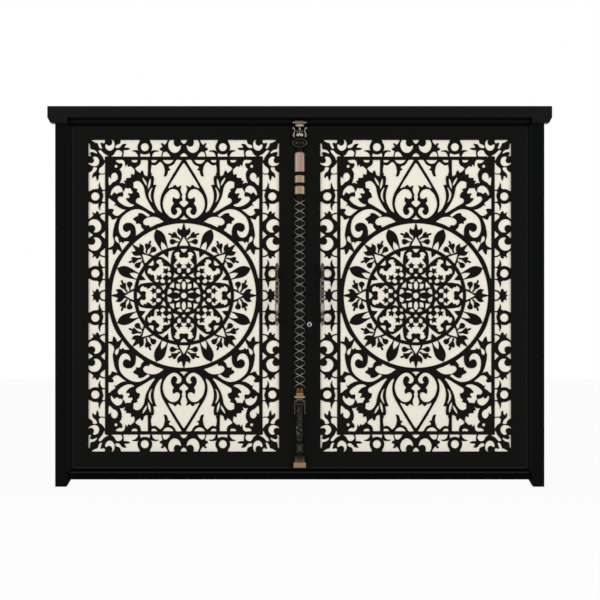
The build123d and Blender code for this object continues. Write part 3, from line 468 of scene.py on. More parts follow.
def draw_branch_and_volute():
    """The corner curl, the branch and volute below it, and the bud that hangs from them."""
    # Corner curl
    disc(False, 116.1, 166.1, 1.5)
    cut((115.8, 160.1), (118, 159.7), (122.8, 159.7), (124.6, 161.5), (125.5, 166.4), (127.1, 164.1),
        (128.5, 166.8), (130.6, 165.8), (132.8, 167.6), (134.7, 170), (134.3, 174.5), (131.2, 173.7),
        (131, 177.4), (126.2, 177.8), (126.2, 180.2), (123.9, 180.6), (125.3, 183.9), (122.6, 182.6),
        (119.9, 182.9), (121.4, 178.7), (122, 174.3), (121.2, 171.3), (119.6, 169), (121.4, 167.4),
        (122.6, 164.7), (122, 162.8), (119.2, 162.9), (116.9, 161.8))
    cut((111.2, 175.6), (112.5, 173.4), (114.4, 172.5), (116.6, 173.4), (117.9, 176.2), (117.5, 178.8),
        (115.6, 180.8), (113.1, 182), (110.3, 184.8), (109, 185.2), (108.5, 180.6), (108.7, 176.6),
        (109.8, 177.2), (111.3, 178.4))
    cut((110.5, 194.6), (111.2, 191.2), (113.1, 188.1), (115.8, 186), (118.2, 185.4), (120.8, 186.5),
        (122.4, 188.8), (122.8, 191.2), (121.4, 192), (119.6, 192.2), (117.6, 193.3), (116.3, 193.9),
        (115.4, 192.5), (114.3, 192.3), (113, 193.4), (111.9, 195.2))
    cut((125.5, 187.4), (126.8, 188.1), (130.7, 188.1), (131.7, 190.2), (133, 191.8), (131.9, 193.6),
        (128.6, 192.9), (128.2, 194), (129.7, 196.1), (129.4, 197.7), (126.1, 198), (126.8, 199.9),
        (129.4, 202.6), (131.9, 203.9), (134.4, 204.6), (133, 206), (130, 206.6), (126.5, 206.2),
        (122.7, 204.4), (119.5, 202), (117.6, 199.3), (118.2, 197.4), (119.8, 196.2), (122.3, 196.8),
        (123.5, 194.5), (122.8, 192), (124.3, 190.2))
    cut((108.4, 198), (109.8, 198.4), (112.4, 200.7), (115, 202.4), (115.3, 203.8), (113.9, 206), (116, 205),
        (118, 206.7), (122.2, 209), (126, 209.6), (124, 211.2), (121, 213.5), (118.8, 215.2), (116.6, 215.6),
        (114.1, 214.6), (112.3, 212.7), (114, 209.9), (112.8, 208.6), (108.4, 208.7))
    cut((108.4, 215.9), (109.7, 215.7), (110.9, 217), (112, 219.6), (114.1, 219.2), (117.5, 217.6),
        (116.7, 219.6), (114.8, 224), (113.7, 228.6), (113, 233), (112.9, 236.4), (113.9, 239.6),
        (114.1, 242.8), (112.6, 245.8), (108.4, 248))
    # Inside of the volute, round its ball and past the small leaf
    cut((136, 209.1), (139.4, 209.2), (143.2, 210.5), (147.2, 212.9), (150, 215), (148.3, 217),
        (146.3, 215.7), (143.3, 213.6), (140.6, 212.8), (138.4, 213.3), (138.1, 215.4), (135.3, 217),
        (133.2, 218.3), (134, 220.1), (135.9, 221.4), (136, 223.8), (138.4, 223.4), (140.9, 224.1),
        (141.4, 226.8), (144.1, 230), (136, 235.6), (135.9, 230.4), (134.8, 226.2), (132.2, 223.4),
        (129, 222.6), (126.2, 222.9), (123.7, 224.7), (122.9, 227.2), (123.4, 229.5), (124.7, 231.2),
        (126.5, 231.8), (128.4, 231.1), (130.3, 229.7), (130.6, 232), (129.7, 234.6), (127.5, 236.9),
        (124.6, 237.5), (121.7, 236.2), (119.8, 233.3), (118.9, 230), (118.8, 226.8), (119.3, 223.2),
        (120.5, 219.4), (123.3, 215.6), (127.5, 212.2), (131.8, 210))
    cut((143.2, 222), (144.1, 219.8), (146.6, 217.9), (150.6, 216.8), (155.2, 216.8), (158.7, 217.9),
        (162, 220.2), (163.9, 221.5), (160.3, 222.9), (156.4, 224.2), (152.6, 226.1), (150, 227.2),
        (149.3, 224.9), (146.6, 225.2), (144.3, 224.2))
    # Bud below the volute and the leaf that hangs from it
    cut((114.9, 238.4), (115.5, 236.6), (116.7, 236), (118.1, 237.6), (118.9, 240.8), (120, 243.9),
        (117.6, 242.3), (115.8, 240.9))
    cut((119.6, 243.8), (120.2, 242.2), (121.3, 241.6), (122.3, 242.4), (123.2, 243.3), (124.3, 241.6),
        (126.6, 241.2), (129.6, 241.6), (127.1, 244.4), (124.6, 247.4), (122.3, 250.6), (121.3, 247.8))
    cut((108.4, 249.6), (112.4, 249.5), (112.7, 251.6), (113.3, 254.6), (114.8, 254), (116.2, 251.8),
        (117.3, 249.2), (119.3, 250.3), (121.3, 252.1), (118, 256.4), (115.2, 261.2), (112.6, 267.4),
        (110.6, 274), (109.4, 278.2), (108.4, 278.2))


def draw_frond():
    """The frond beside the stem, the ogee over the medallion and the drop inside it."""
    cut((131.6, 159.8), (137.6, 159.8), (137.3, 161.4), (136, 162.2), (133.6, 162.1), (132, 161.2))
    cut((141, 159.8), (148, 159.8), (148, 166), (147.9, 172), (147.6, 176), (145.6, 175.4), (144.2, 174.3),
        (143.6, 171.9), (142.3, 170), (141.1, 171.2), (140.3, 172.9), (137.4, 170.9), (135.2, 168.2),
        (137, 166.6), (139.6, 165), (140.8, 162.6))
    cut((151.5, 159.8), (157.3, 159.8), (156.3, 161.4), (154.4, 162.3), (151.9, 162.1))
    cut((162.7, 159.8), (173.7, 159.8), (172, 162), (168.4, 163.6), (165.2, 162.6))
    # Between the stem and the ogee, down to the gap beside the frond
    cut((160.3, 161.5), (158.6, 162.9), (156, 164.9), (153.8, 165.1), (152, 164.4), (151.4, 166.4),
        (151.1, 172), (151.9, 173.6), (151.6, 175.4), (152.6, 175.4), (153.9, 176.6), (154.1, 180.2),
        (153.5, 184.3), (156.7, 184.9), (155.2, 188.4), (154.1, 193.4), (154, 198), (154.8, 202.2),
        (156.9, 207), (159.3, 210.5), (161.9, 212.6), (162, 211), (160.7, 206.9), (160.3, 202.4),
        (160.9, 197.4), (162.7, 192.4), (165.4, 187.6), (169.2, 181.1), (172.8, 174.8), (177.1, 167.8),
        (182, 159.8), (176.7, 159.8), (174.5, 163.2), (172.1, 165.2), (169.3, 166), (168.9, 167.6),
        (170.9, 169.5), (168.3, 170.8), (167.8, 173), (166.7, 175.5), (164.9, 176.6), (163.9, 175.8),
        (164.8, 172.5), (164.7, 169), (163.7, 165.4), (162, 162.8))
    cut((142.3, 177.8), (143.2, 177.5), (144.8, 179.4), (146.6, 182.4), (147.1, 185.9), (145.6, 184.4),
        (143.4, 180.8))
    cut((150.1, 178.6), (151, 178.8), (150.8, 183), (149.9, 186.4), (148.2, 189.2), (148, 185.6),
        (149, 181.6))
    cut((151.9, 187.4), (152.6, 187.8), (151.3, 191.4), (150.8, 195.4), (151.4, 199.3), (152.7, 202.3),
        (151.1, 201.2), (149.5, 198.4), (148.6, 194.4), (149.7, 190.6))
    cut((133.4, 182.3), (136.7, 180.8), (139.7, 181.4), (142.3, 184.1), (144.1, 187.6), (144.9, 192),
        (146.3, 197.2), (148.8, 202.4), (151.9, 207.7), (155, 211.8), (154, 212.7), (150, 210.6),
        (145.6, 207.9), (140, 204.6), (136.7, 202.6), (136, 200.2), (137.2, 198.3), (139.7, 197.7),
        (140, 196.1), (139, 193), (136.8, 191), (138, 189), (135.8, 188.3), (133.6, 187.4))
    # Space under the ogee, above the drop's crown
    cut((184.5, 162.4), (183.1, 163.5), (179.8, 168.5), (175.5, 175.5), (171.5, 181.8), (168.3, 187.5),
        (169.2, 188.1), (170.4, 187.5), (171.3, 186.6), (172.7, 187.2), (173.8, 185.5), (175.9, 184.5),
        (176.8, 186.1), (178.3, 187), (180, 185.7), (181.6, 185.1), (181.2, 187), (180.6, 188.8),
        (181.2, 191.4), (182.4, 194.4), (182, 196.6), (182.5, 198.4), (182.4, 200.6), (180.5, 201.2),
        (179.4, 202.8), (181.1, 204.6), (183, 206.4), (184.5, 207.2))
    # Inside of the drop, round its ball
    cut((173.1, 188.9), (170.5, 189.5), (168, 191.5), (165.3, 194.8), (163.6, 199), (162.9, 203.9),
        (163.6, 208.2), (165.6, 212.2), (168.7, 215.7), (171.5, 217.5), (174.3, 218.2), (177.3, 217.4),
        (180, 215), (181.7, 212.2), (181.4, 209.8), (179.8, 207.9), (177.7, 207.4), (175.8, 208.5),
        (177.2, 210.2), (177.4, 212.3), (176.1, 214.2), (174.1, 214.9), (172.2, 213.5), (171.1, 210.4),
        (171.5, 207.2), (173, 204.7), (174.2, 203), (172.8, 201.2), (172.8, 198.6), (173.4, 196.8),
        (175.1, 197.9), (177.1, 198.7), (179.2, 197.9), (180, 195.6), (179.3, 192.8), (177.5, 190.3),
        (175.5, 189.2))
    cut((184.5, 215), (183.6, 215.6), (182.2, 217.4), (180, 218.5), (182.6, 219.3), (184.5, 219.3))


def polar(steel, angle, outline):
    """A shape of the medallion, given along and across a spoke."""
    c, s = cos(radians(angle)), sin(radians(angle))
    x, y = GRID_MIDDLE
    flat = MEDALLION_FLATNESS
    shapes.append((steel, [(x - r * c + t * s, y - (r * s + t * c) * flat) for r, t in flowing(outline)]))


def even_polar(steel, angle, *half):
    """A shape of the medallion that is alike on both sides of a spoke, from its half outline."""
    polar(steel, angle, list(half) + [(r, -t) for r, t in reversed(half) if t])


def polar_bud(angle, r, t, along, across, count, notch=1.0):
    """A steel bud by a spoke, or a star where every other point is drawn in."""
    outline = []
    for n in range(count):
        a, reach = 2 * pi * n / count, notch if n % 2 else 1.0
        outline.append((r + along * reach * cos(a), t + across * reach * sin(a)))
    polar(True, angle, outline)


def draw_medallion():
    """The rings, the spokes of one quarter from their flowers inwards, and the rosette in the middle."""
    x, y = GRID_MIDDLE
    disc(True, x, y, OUTER_RING[1], sides=144)
    disc(False, x, y, OUTER_RING[0], sides=144)
    disc(True, x, y, MIDDLE_RING, MIDDLE_RING * MEDALLION_FLATNESS, sides=144)
    leaf = (
        (62.6, 15.9), (61.2, 15), (60.2, 12.5), (58, 12.8), (58, 9.6), (57.7, 6.5), (56, 4.2), (57.3, 3),
        (58.9, 5), (60, 6.3), (62, 7.2), (63.9, 9), (64, 10.6), (61.8, 11.3), (63, 14.2),
    )
    petal = (
        (55, 14.1), (52.8, 13.7), (51.5, 12.4), (51.5, 10.6), (52.7, 9), (53.4, 7), (53.2, 5), (54.6, 4.4),
        (54.7, 6.8), (55.9, 8.7), (56.9, 10.4), (57, 12.2), (56.3, 13.5),
    )
    for k in range(3):
        # Between the outer rings: a tulip on its stem, with a leaf and a petal to each side
        spoke = 45 * k
        even_polar(True, spoke, (73, 0), (72, 0.6), (69.6, 1.3), (67.6, 1.8), (66.2, 2.3), (66.8, 4.1),
                   (68.5, 6), (66.6, 6.3), (64.3, 6.7), (61.6, 5.1), (59.8, 2.6), (57.2, 2.8), (53.4, 5.3),
                   (49, 7.4), (49, 4.6), (52, 3.9), (59.2, 0))
        for side in (1, -1):
            for outline in (leaf, petal):
                polar(True, spoke, [(r, side * t) for r, t in outline])
        # Pear loop between the two inner rings, with its stars and buds
        even_polar(False, spoke, (46.9, 3.5), (44.8, 2.2), (43.1, 0))
        even_polar(False, spoke, (38.4, 0), (38.8, 3.6), (40.6, 4.6), (42.7, 3.8), (43.8, 5.4), (43.5, 7.5),
                   (42.3, 9), (40.8, 9.8), (39.6, 8.1), (37.9, 8.7), (36.5, 6.6), (34.4, 7.5), (32.8, 8.9),
                   (30.6, 10.3), (28.4, 9.2), (27.9, 7.5), (28.4, 6), (27.6, 6.2), (25.5, 6.7), (23.5, 5.8),
                   (22.9, 4.2), (23.8, 2.7), (26.4, 2.8), (27.6, 1.6), (27.6, 0))
        for side in (1, -1):
            polar_bud(spoke, 30, side * 4.7, 4.0, 4.0, 10, 0.55)
            polar_bud(spoke, 40.1, side * 2.4, 2.15, 2.2, 10)
            polar_bud(spoke, 25.9, side * 1.3, 1.7, 1.5, 8)
        even_polar(False, spoke, (21.9, 0), (21.3, 1.4), (20.4, 1.7), (19.4, 0.9), (19.1, 0))
    for k in range(2):
        # Lens leaf that stands on two feet, the spike inside it and the small triangle
        spoke = 22.5 + 45 * k
        even_polar(True, spoke, (73, 0), (71.6, 0.7), (69.8, 2.7), (67, 4.5), (63.4, 5.4), (59, 5.1),
                   (54, 4.2), (48.8, 3.3), (48.8, 2.7), (52, 2.6), (55.4, 1.9), (58.9, 0))
        even_polar(False, spoke, (33.8, 0), (35.9, 0.7), (38.9, 2.1), (42, 4), (44.6, 6), (45.8, 8.7),
                   (46.8, 2.9), (44, 1.6), (41.3, 0))
        even_polar(False, spoke, (25.4, 0), (23.4, 0.7), (20.9, 3.1), (20.2, 0))
    cells = (
        ((16.5, 1), (15.9, 5.4), (15, 6.4), (13.4, 6.6), (11.6, 3.7), (13.6, 2.2)),
        ((9.9, 4.4), (7, 5), (4.2, 3.7), (4.5, 2.1), (6.9, 3), (9.5, 3.3)),
        ((7.8, 11.6), (3.9, 11.7), (3.8, 6.7), (5.6, 6.9), (7.4, 8)),
        ((14.6, 8.2), (13, 11), (9.9, 13.7), (9.6, 10.6), (10, 7.5), (12, 8.2)),
        ((6.8, 15.1), (4.4, 16.1), (1.5, 16.4), (2.6, 13.7), (4.7, 13.1)),
    )
    for sx, sy in ((1, 1), (1, -1), (-1, 1), (-1, -1)):
        for cell in cells:
            cut(*[(x - sx * r, y - sy * t) for r, t in cell])
    disc(False, x, y - 10.2, 2.1, 4.1, sides=24)
    disc(False, x, y, 2.8, sides=24)


def draw_bars():
    """The sheet's edge and the inner bar go over every cut that meets them, past the quarter's end."""
    lip, reach = 6, 200
    across, down = 90, 150
    for left, top, width, height in (
        (SHEET_LEFT - lip, SHEET_TOP - lip, lip, reach), (SHEET_LEFT - lip, SHEET_TOP - lip, reach, lip),
        (BAR_LEFT, BAR_TOP, BAR_INNER_LEFT - BAR_LEFT, down),
        (BAR_LEFT, BAR_TOP, across, BAR_INNER_TOP - BAR_TOP),
    ):
        right, foot = left + width, top + height
        shapes.append((True, [(left, top), (right, top), (right, foot), (left, foot)]))


draw_corner()
draw_top_strip()
draw_side_strip()
draw_branch_and_volute()
draw_frond()
draw_medallion()
draw_bars()


def inside(x, y, outline):
    """Whether a point lies in an outline."""
    found = False
    ax, ay = outline[-1]
    for bx, by in outline:
        if (ay > y) != (by > y) and x < (bx - ax) * (y - ay) / (by - ay) + ax:
            found = not found
        ax, ay = bx, by
    return found


def steel_of_quarter():
    """The points of the drawn quarter, and the triangles of it that are steel."""
    middle_x, middle_y = GRID_MIDDLE
    left, top = SHEET_LEFT - HIDDEN_EDGE, SHEET_TOP - HIDDEN_EDGE
    clip = [(left, top), (middle_x, top), (middle_x, middle_y), (left, middle_y)]
    points, edges = [], []
    for _, outline in [(True, clip)] + shapes:
        start, n = len(points), len(outline)
        points += [Vector(p) for p in outline]
        edges += [(start + i, start + (i + 1) % n) for i in range(n)]
    verts, _, triangles, _, _, _ = delaunay_2d_cdt(points, edges, [], 0, SAME_POINT, False)
    painted = []
    for steel, outline in shapes:
        xs, ys = zip(*outline)
        painted.append((steel, outline, min(xs), max(xs), min(ys), max(ys)))
    kept = []
    for triangle in triangles:
        x = sum(verts[i][0] for i in triangle) / 3
        y = sum(verts[i][1] for i in triangle) / 3
        if not (left < x < middle_x and top < y < middle_y):
            continue
        is_steel = True
        for steel, outline, x0, x1, y0, y1 in reversed(painted):
            if x0 <= x <= x1 and y0 <= y <= y1 and inside(x, y, outline):
                is_steel = steel
                break
        if is_steel:
            kept.append(triangle)
    return verts, kept


def tracery_sheet(name, node, side, right=0.0, up=1.6 * MM):
    """The cut sheet of one leaf: the drawn quarter, mirrored twice, with its cut edges.

    right and up move the ornament within the sheet, whose edges stay.
    """
    low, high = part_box(node)
    centre_x, centre_z = (low.x + high.x) / 2, (low.z + high.z) / 2
    half_w, half_h = (high.x - low.x) / 2, (high.z - low.z) / 2
    flat, triangles = quarter
    faces, seen = [], {}
    for mirror_x in (1, -1):
        for mirror_z in (1, -1):
            for triangle in triangles:
                corner_ids = []
                for i in triangle:
                    x = min(max((flat[i][0] - GRID_MIDDLE[0]) * GRID_STEP, -half_w), 0) * mirror_x
                    z = min(max((GRID_MIDDLE[1] - flat[i][1]) * GRID_STEP, 0), half_h) * mirror_z
                    x += right * (1 - (x / half_w) ** EDGE_HOLD)
                    z += up * (1 - (z / half_h) ** EDGE_HOLD)
                    key = (round(x / MM, 2), round(z / MM, 2))
                    corner_ids.append(seen.setdefault(key, len(seen)))
                if len(set(corner_ids)) == 3:
                    faces.append(corner_ids if mirror_x != mirror_z else corner_ids[::-1])
    flat_points = list(seen)
    count = len(flat_points)

    def area(face):
        (ax, az), (bx, bz), (cx, cz) = (flat_points[i] for i in face)
        return (bx - ax) * (cz - az) - (cx - ax) * (bz - az)

    # Faces are wound so that the front looks to -Y. An edge met once either way bounds a cut
    faces = [face if area(face) > 0 else face[::-1] for face in faces]
    rim = set()
    for a, b, c in faces:
        for start, end in ((a, b), (b, c), (c, a)):
            if (end, start) in rim:
                rim.discard((end, start))
            else:
                rim.add((start, end))
    verts = [(centre_x + x * MM, y, centre_z + z * MM) for y in (low.y, high.y) for x, z in flat_points]
    skin = faces + [[i + count for i in face[::-1]] for face in faces]
    skin += [(b, a, a + count, b + count) for a, b in sorted(rim)]
    return add_piece(name, verts, skin, cut_sheet_coat, f"{side}_leaf", False, (node,))


quarter = steel_of_quarter()
for side, shift in (("left", 0.0), ("right", 1.8 * MM)):
    tracery_sheet(f"{side}_cut_sheet", f"{side}_tracery", side, shift)


def finish_frame_and_leaves():
    """Rounded copies of the steel bars, and plain finishes on the nodes that keep their shape."""
    # The jambs and the threshold take darker copies of the coat as painted shade, the cornice a lighter one
    # as painted light
    rounded = [
        ("jamb_left", "frame", jamb_painted_shade_coat), ("jamb_right", "frame", jamb_painted_shade_coat),
        ("frame_head", "frame", powder_coat), ("cornice", "frame", cornice_painted_light_coat),
        ("threshold", "frame", sill_painted_shade_coat), ("jamb_stop_left", "frame", powder_coat),
        ("jamb_stop_right", "frame", powder_coat), ("head_stop", "frame", powder_coat),
    ]
    for side in ("left", "right"):
        for bar in ("hinge_stile", "meeting_stile", "top_rail", "bottom_rail", "back_beads"):
            rounded.append((f"{side}_{bar}", f"{side}_leaf", powder_coat))
    for node, body, coat in rounded:
        bar = bpy.data.objects.new(f"{node}_coated", nodes[node].data.copy())
        settle(bar, coat, body, False, (node,), 0.9 * MM)
    plain = [("flush_bolts", bare_steel), ("lock_faceplate", bare_steel), ("thumb_turn", chrome)]
    for side in ("left", "right"):
        for part, coat in (("backing", ivory_board), ("pivot_pins", black_oxide),
                           ("pivot_bushes", black_oxide), ("pull_posts", powder_coat)):
            plain.append((f"{side}_{part}", coat))
    for node, coat in plain:
        nodes[node].data.materials.clear()
        nodes[node].data.materials.append(coat)


finish_frame_and_leaves()

# The face that the column lies on
face_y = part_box("right_meeting_stile")[0].y


def profile(level, *pairs):
    """Radii and distances from a level in millimetres, as radii and places in metres."""
    return [(radius * MM, level + away * MM) for radius, away in pairs]


def squared(power, rib=0.0):
    """The section of a half-round form made flatter across its front, with a narrow rib down its middle."""
    rib_angle = 0.06

    def radius_share(a):
        flat = (abs(cos(a)) ** power + abs(sin(a)) ** power) ** (-1 / power)
        return flat * (1 + rib * max(0, 1 - abs(a - pi / 2) / rib_angle))
    return radius_share


def span(node):
    """The height range of a node."""
    low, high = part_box(node)
    return low.z, high.z


def column_shaft_pieces():
    """The round shaft with two lengths of crossed wires laid over it, tip to tip."""
    low, high = span("column_shaft")
    radius, plate_half, plate = 30 * MM, 40 * MM, 4 * MM
    core = Solid()
    core.half_turned([(radius, low), (radius, high)], 0, face_y, steps=40)
    core.box(-plate_half, plate_half, face_y - plate, face_y, low, high)
    core.piece("column_shaft_core", powder_coat, "right_leaf", "black_steel", replaced=("column_shaft",))
    wire, reach, sink, steps = 2.1 * MM, 33.6 * MM, 3.2 * MM, 14
    # First crossing and pitch in mm, the number of gaps, and how far the wires run on before and after
    for length, first, pitch, gaps, before, after in (
        ("upper", 1745.0, 51.47, 10, 0.5, 0.56), ("lower", 1170.2, 51.42, 11, 0.56, 0.62),
    ):
        lattice = Solid()
        for hand in (1, -1):
            path = []
            for n in range(-round(before * steps), round((gaps + after) * steps) + 1):
                turn = pi * n / steps
                y = face_y - plate - (radius - sink) * abs(cos(turn))
                path.append((hand * reach * sin(turn), y, (first - pitch * n / steps) * MM))
            lattice.tube(path, wire)
        lattice.piece(f"column_{length}_lattice", nickel_wire, "right_leaf", "pewter")


def column_band_pieces():
    """Two pale bands and the dark gaps beside them, flat across their fronts, their edges bowed up."""
    bow, bevel = 7 * MM, 1.5 * MM
    # Radius, and how far the foot is lifted and the top is lowered, in mm
    for part, finish, slot, radius, lift, drop in (
        ("lower_band", pale_bronze, "rose_bronze", 34.5, 4, 2),
        ("middle_gap", powder_coat, "black_steel", 31, -1, -1),
        ("upper_band", pale_bronze, "rose_bronze", 34.5, 0, 4),
        ("upper_gap", powder_coat, "black_steel", 31, -1, -3),
    ):
        low, high = span(f"column_{part}")
        low, high, r = low + lift * MM - bow / 3, high - drop * MM - bow / 3, radius * MM
        rows = [(r - bevel, low), (r, low + bevel), (r, high - bevel), (r - bevel, high)]
        band = Solid()
        band.half_turned(rows, 0, face_y, squared(3.4), bow, 48)
        band.piece(f"column_{part}_turned", finish, "right_leaf", slot, replaced=(f"column_{part}",))


def column_neck_piece():
    """The neck, its two tones a painted reflection, with a fine rib down its front, domed over, and the dark
    neck above.
    """
    low, high = span("column_neck")
    low += 3 * MM
    r, foot, shoulder = 34.5, 6 * MM, 14 * MM
    rows = profile(low, (r - 2, 0), (r, 2))
    rows += [(r * MM, low + foot + (high - low - foot - shoulder) * k / 6) for k in range(7)]
    rows += profile(high, (r - 1.5, -9), (r - 5, -4), (r - 11, 0))
    neck = Solid()
    neck.half_turned(rows, 0, face_y, squared(3.4, 0.02), 4 * MM, 96)
    neck.piece("column_neck_ribbed", painted_reflection_bronze, "right_leaf", "rose_bronze", replaced=("column_neck",))
    dark = Solid()
    dark.half_turned(profile(high, (24, -6), (27, 10), (29, 27)), 0, face_y)
    dark.piece("column_upper_neck", powder_coat, "right_leaf", "black_steel")


def oval(middle_z, half_w, half_h, bar):
    """A closed oval bar with its middle at a height, lifted off the leaf's face and curved round it."""
    lift, rise, count, sides = 33 * MM, 6 * MM, 56, 8
    rows = []
    for k in range(count):
        a = 2 * pi * k / count
        y = face_y - lift - rise * (1 - abs(cos(a)))
        point = Vector((half_w * cos(a), y, middle_z + half_h * sin(a)))
        out = Vector((cos(a) * half_h, 0, sin(a) * half_w)).normalized()
        rows.append([tuple(point + bar * (cos(t) * out + sin(t) * Vector((0, 1, 0))))
                     for t in [2 * pi * n / sides for n in range(sides)]])
    ring = Solid()
    ring.rows(rows + [rows[0]], caps=False)
    return ring


def column_ring_piece():
    """The oval ring under the capital: a drum, a plate, two oval bars and a lighter boss at the left, a
    painted highlight.
    """
    high = span("column_ring")[1]
    middle = high - 30 * MM
    drum = Solid()
    drum.half_turned(profile(middle, (30, -30), (30, 30)), 0, face_y)
    drum.piece("column_ring_drum", powder_coat, "right_leaf", "black_steel", replaced=("column_ring",))
    for name, half_w, half_h, bar in (("ring", 44, 26, 4.2), ("inner", 25, 6.5, 3.4)):
        bars = oval(middle, half_w * MM, half_h * MM, bar * MM)
        bars.piece(f"column_oval_{name}", dark_pewter, "right_leaf", "dark_pewter")
    # A bud on the ring's left only, in a lighter pewter: a painted highlight
    boss = Solid()
    boss.buds(face_y, middle, (-21, 38, 0, 5, 3, 4, 8))
    boss.piece("column_oval_boss", mid_pewter, "right_leaf", "pewter")
    edge = [(48 * MM * cos(2 * pi * k / 56), 30 * MM * sin(2 * pi * k / 56)) for k in range(56)]
    plate = Solid()
    plate.rows([[(x * share, face_y - depth * MM, middle + z * share) for x, z in edge]
                for share, depth in ((0.96, 0), (0.96, 30), (0.9, 33))])
    plate.piece("column_oval_plate", powder_coat, "right_leaf", "black_steel")


def leaf_blade(solid, root, tip, width, front_y, lift):
    """A pointed leaf with a raised middle rib, from root to tip in the plane of the door."""
    rows, across = 9, 6
    (rx, rz), (tx, tz) = root, tip
    length = dist(root, tip)
    ux, uz = (tx - rx) / length, (tz - rz) / length
    outline = []
    for i in range(rows + 1):
        s = i / rows
        half = width / 2 * sin(pi * min(1, 0.12 + 0.88 * s)) ** 0.8 + 0.2 * MM
        row = []
        for k in range(across + 1):
            v = 2 * k / across - 1
            x = rx + ux * length * s - uz * half * v
            z = rz + uz * length * s + ux * half * v
            row.append((x, front_y - lift * (1 - v * v) * sin(pi * (0.15 + 0.7 * s)) - 1 * MM, z))
        back = [(p[0], front_y + 1 * MM, p[2]) for p in reversed(row)]
        outline.append(row + back)
    solid.rows(outline)


def bowed_bar(solid, half, low, rise, tip_rise, front, back, power=2.2):
    """A bar across the column that is thick in its middle and thin at its tips."""
    steps, lip = 12, 2 * MM
    rows = []
    for v in range(-steps, steps + 1):
        s = v / steps
        x, top = half * s, low + tip_rise + (rise - tip_rise) * (1 - abs(s) ** power)
        foot = low + (top - low) * 0.35 * max(0, abs(s) - 0.6)
        y = face_y - front * (0.9 + 0.1 * (1 - s * s))
        rows.append([(x, y, foot), (x, y - lip, (foot + top) / 2), (x, y + 0.75 * lip, top),
                     (x, face_y - back, top), (x, face_y - back, foot)])
    solid.rows(rows)


def column_capital_pieces():
    """Capital: a bowed abacus over an echinus, S-scrolls at the sides, a flower and a fan of leaves."""
    low, high = span("column_capital")
    front = face_y - 40 * MM
    # The bell is nearly black: painted shade behind the scrolls, the flower and the leaves
    bell = Solid()
    bell.half_turned(profile(low, (27, 0), (25, 14), (29, 60), (34, 76)), 0, face_y)
    bell.piece("column_capital_bell", capital_shade_bronze, "right_leaf", "dark_pewter",
               replaced=("column_capital",))
    top = Solid()
    bowed_bar(top, 48 * MM, high - 15 * MM, 14 * MM, 5 * MM, 51 * MM, 25 * MM, 4.5)
    bowed_bar(top, 29 * MM, high - 22 * MM, 8 * MM, 6 * MM, 49 * MM, 24 * MM)
    top.piece("column_capital_abacus", pewter, "right_leaf", "pewter")
    echinus = Solid()
    bowed_bar(echinus, 27 * MM, high - 36 * MM, 16 * MM, 12 * MM, 48 * MM, 10 * MM, 3)
    echinus.piece("column_capital_echinus", pale_pewter, "right_leaf", "pewter")
    flower = Solid()
    flower.buds(front, low, (0, 0, 66, 4.5, 5, 9, 10), (0, 2, 54, 9.5, 6, 5, 10), (0, 1, 60, 6.5, 5, 6, 10),
                (16, 0, 41, 3.6, 3, 3.6, 8), (-16, 0, 41, 3.6, 3, 3.6, 8))
    flower.piece("column_capital_flower", pale_pewter, "right_leaf", "pewter")
    calyx = Solid()
    calyx.buds(front, low, *[(x, -1, z, r, 3, r * 0.8, 8) for x, z, r in (
        (0, 46, 5), (-7.5, 44, 5), (7.5, 44, 5), (0, 39, 5), (-20, 48, 4), (20, 48, 4), (-18, 33, 3.5),
        (18, 33, 3.5),
    )])
    calyx.piece("column_capital_calyx", mid_pewter, "right_leaf", "pewter")
    # The fan of leaves takes the brighter pewter as painted highlight
    fan = Solid()
    for tilt, reach in ((-82, 24), (-58, 27), (-30, 27), (0, 27), (30, 27), (58, 27), (82, 24)):
        a = radians(90 - tilt)
        leaf_blade(fan, (4 * MM * cos(a), low + (13 + 3 * sin(a)) * MM),
                   (reach * MM * cos(a), low + (15 + (reach - 5) * sin(a)) * MM), 12 * MM, front, 5 * MM)
    fan.buds(front, low, *[(x, 2, z, 8, 5, 6.5, 10) for x, z in ((0, 25), (-9, 18), (9, 18))])
    # Two blades along the abacus' ends in the brighter pewter: painted highlight
    for hand in (1, -1):
        leaf_blade(fan, (hand * 24 * MM, high - 11.5 * MM), (hand * 47 * MM, high - 10.5 * MM), 5.5 * MM,
                   face_y - 50.5 * MM, 2 * MM)
    fan.piece("column_capital_fan", highlight_pewter, "right_leaf", "pewter")
    # Each scroll runs down from its eye. Places across and up, and the bar's radius, in mm
    scroll = (
        (45.5, 60, 4), (44, 65, 4.8), (40, 67, 5), (35.5, 63, 4.8), (32.8, 57, 4.2), (31.8, 49, 4),
        (32.6, 41, 4.4), (35.5, 33, 5.2), (38, 25, 6.6), (38.4, 17, 8), (36.5, 10.5, 7.8), (33, 6, 5),
    )
    scrolls = Solid()
    for hand in (1, -1):
        path = []
        for k, (x, z, _) in enumerate(scroll):
            y = front + 4 * MM - 4 * MM * sin(pi * k / (len(scroll) - 1))
            path.append((hand * x * MM, y, low + z * MM))
        scrolls.tube(path, [radius * MM for _, _, radius in scroll], 10)
        scrolls.buds(front, low, (hand * 42.5, -1, 62, 5.5, 4, 5, 8))
    scrolls.piece("column_capital_scrolls", pewter, "right_leaf", "pewter")


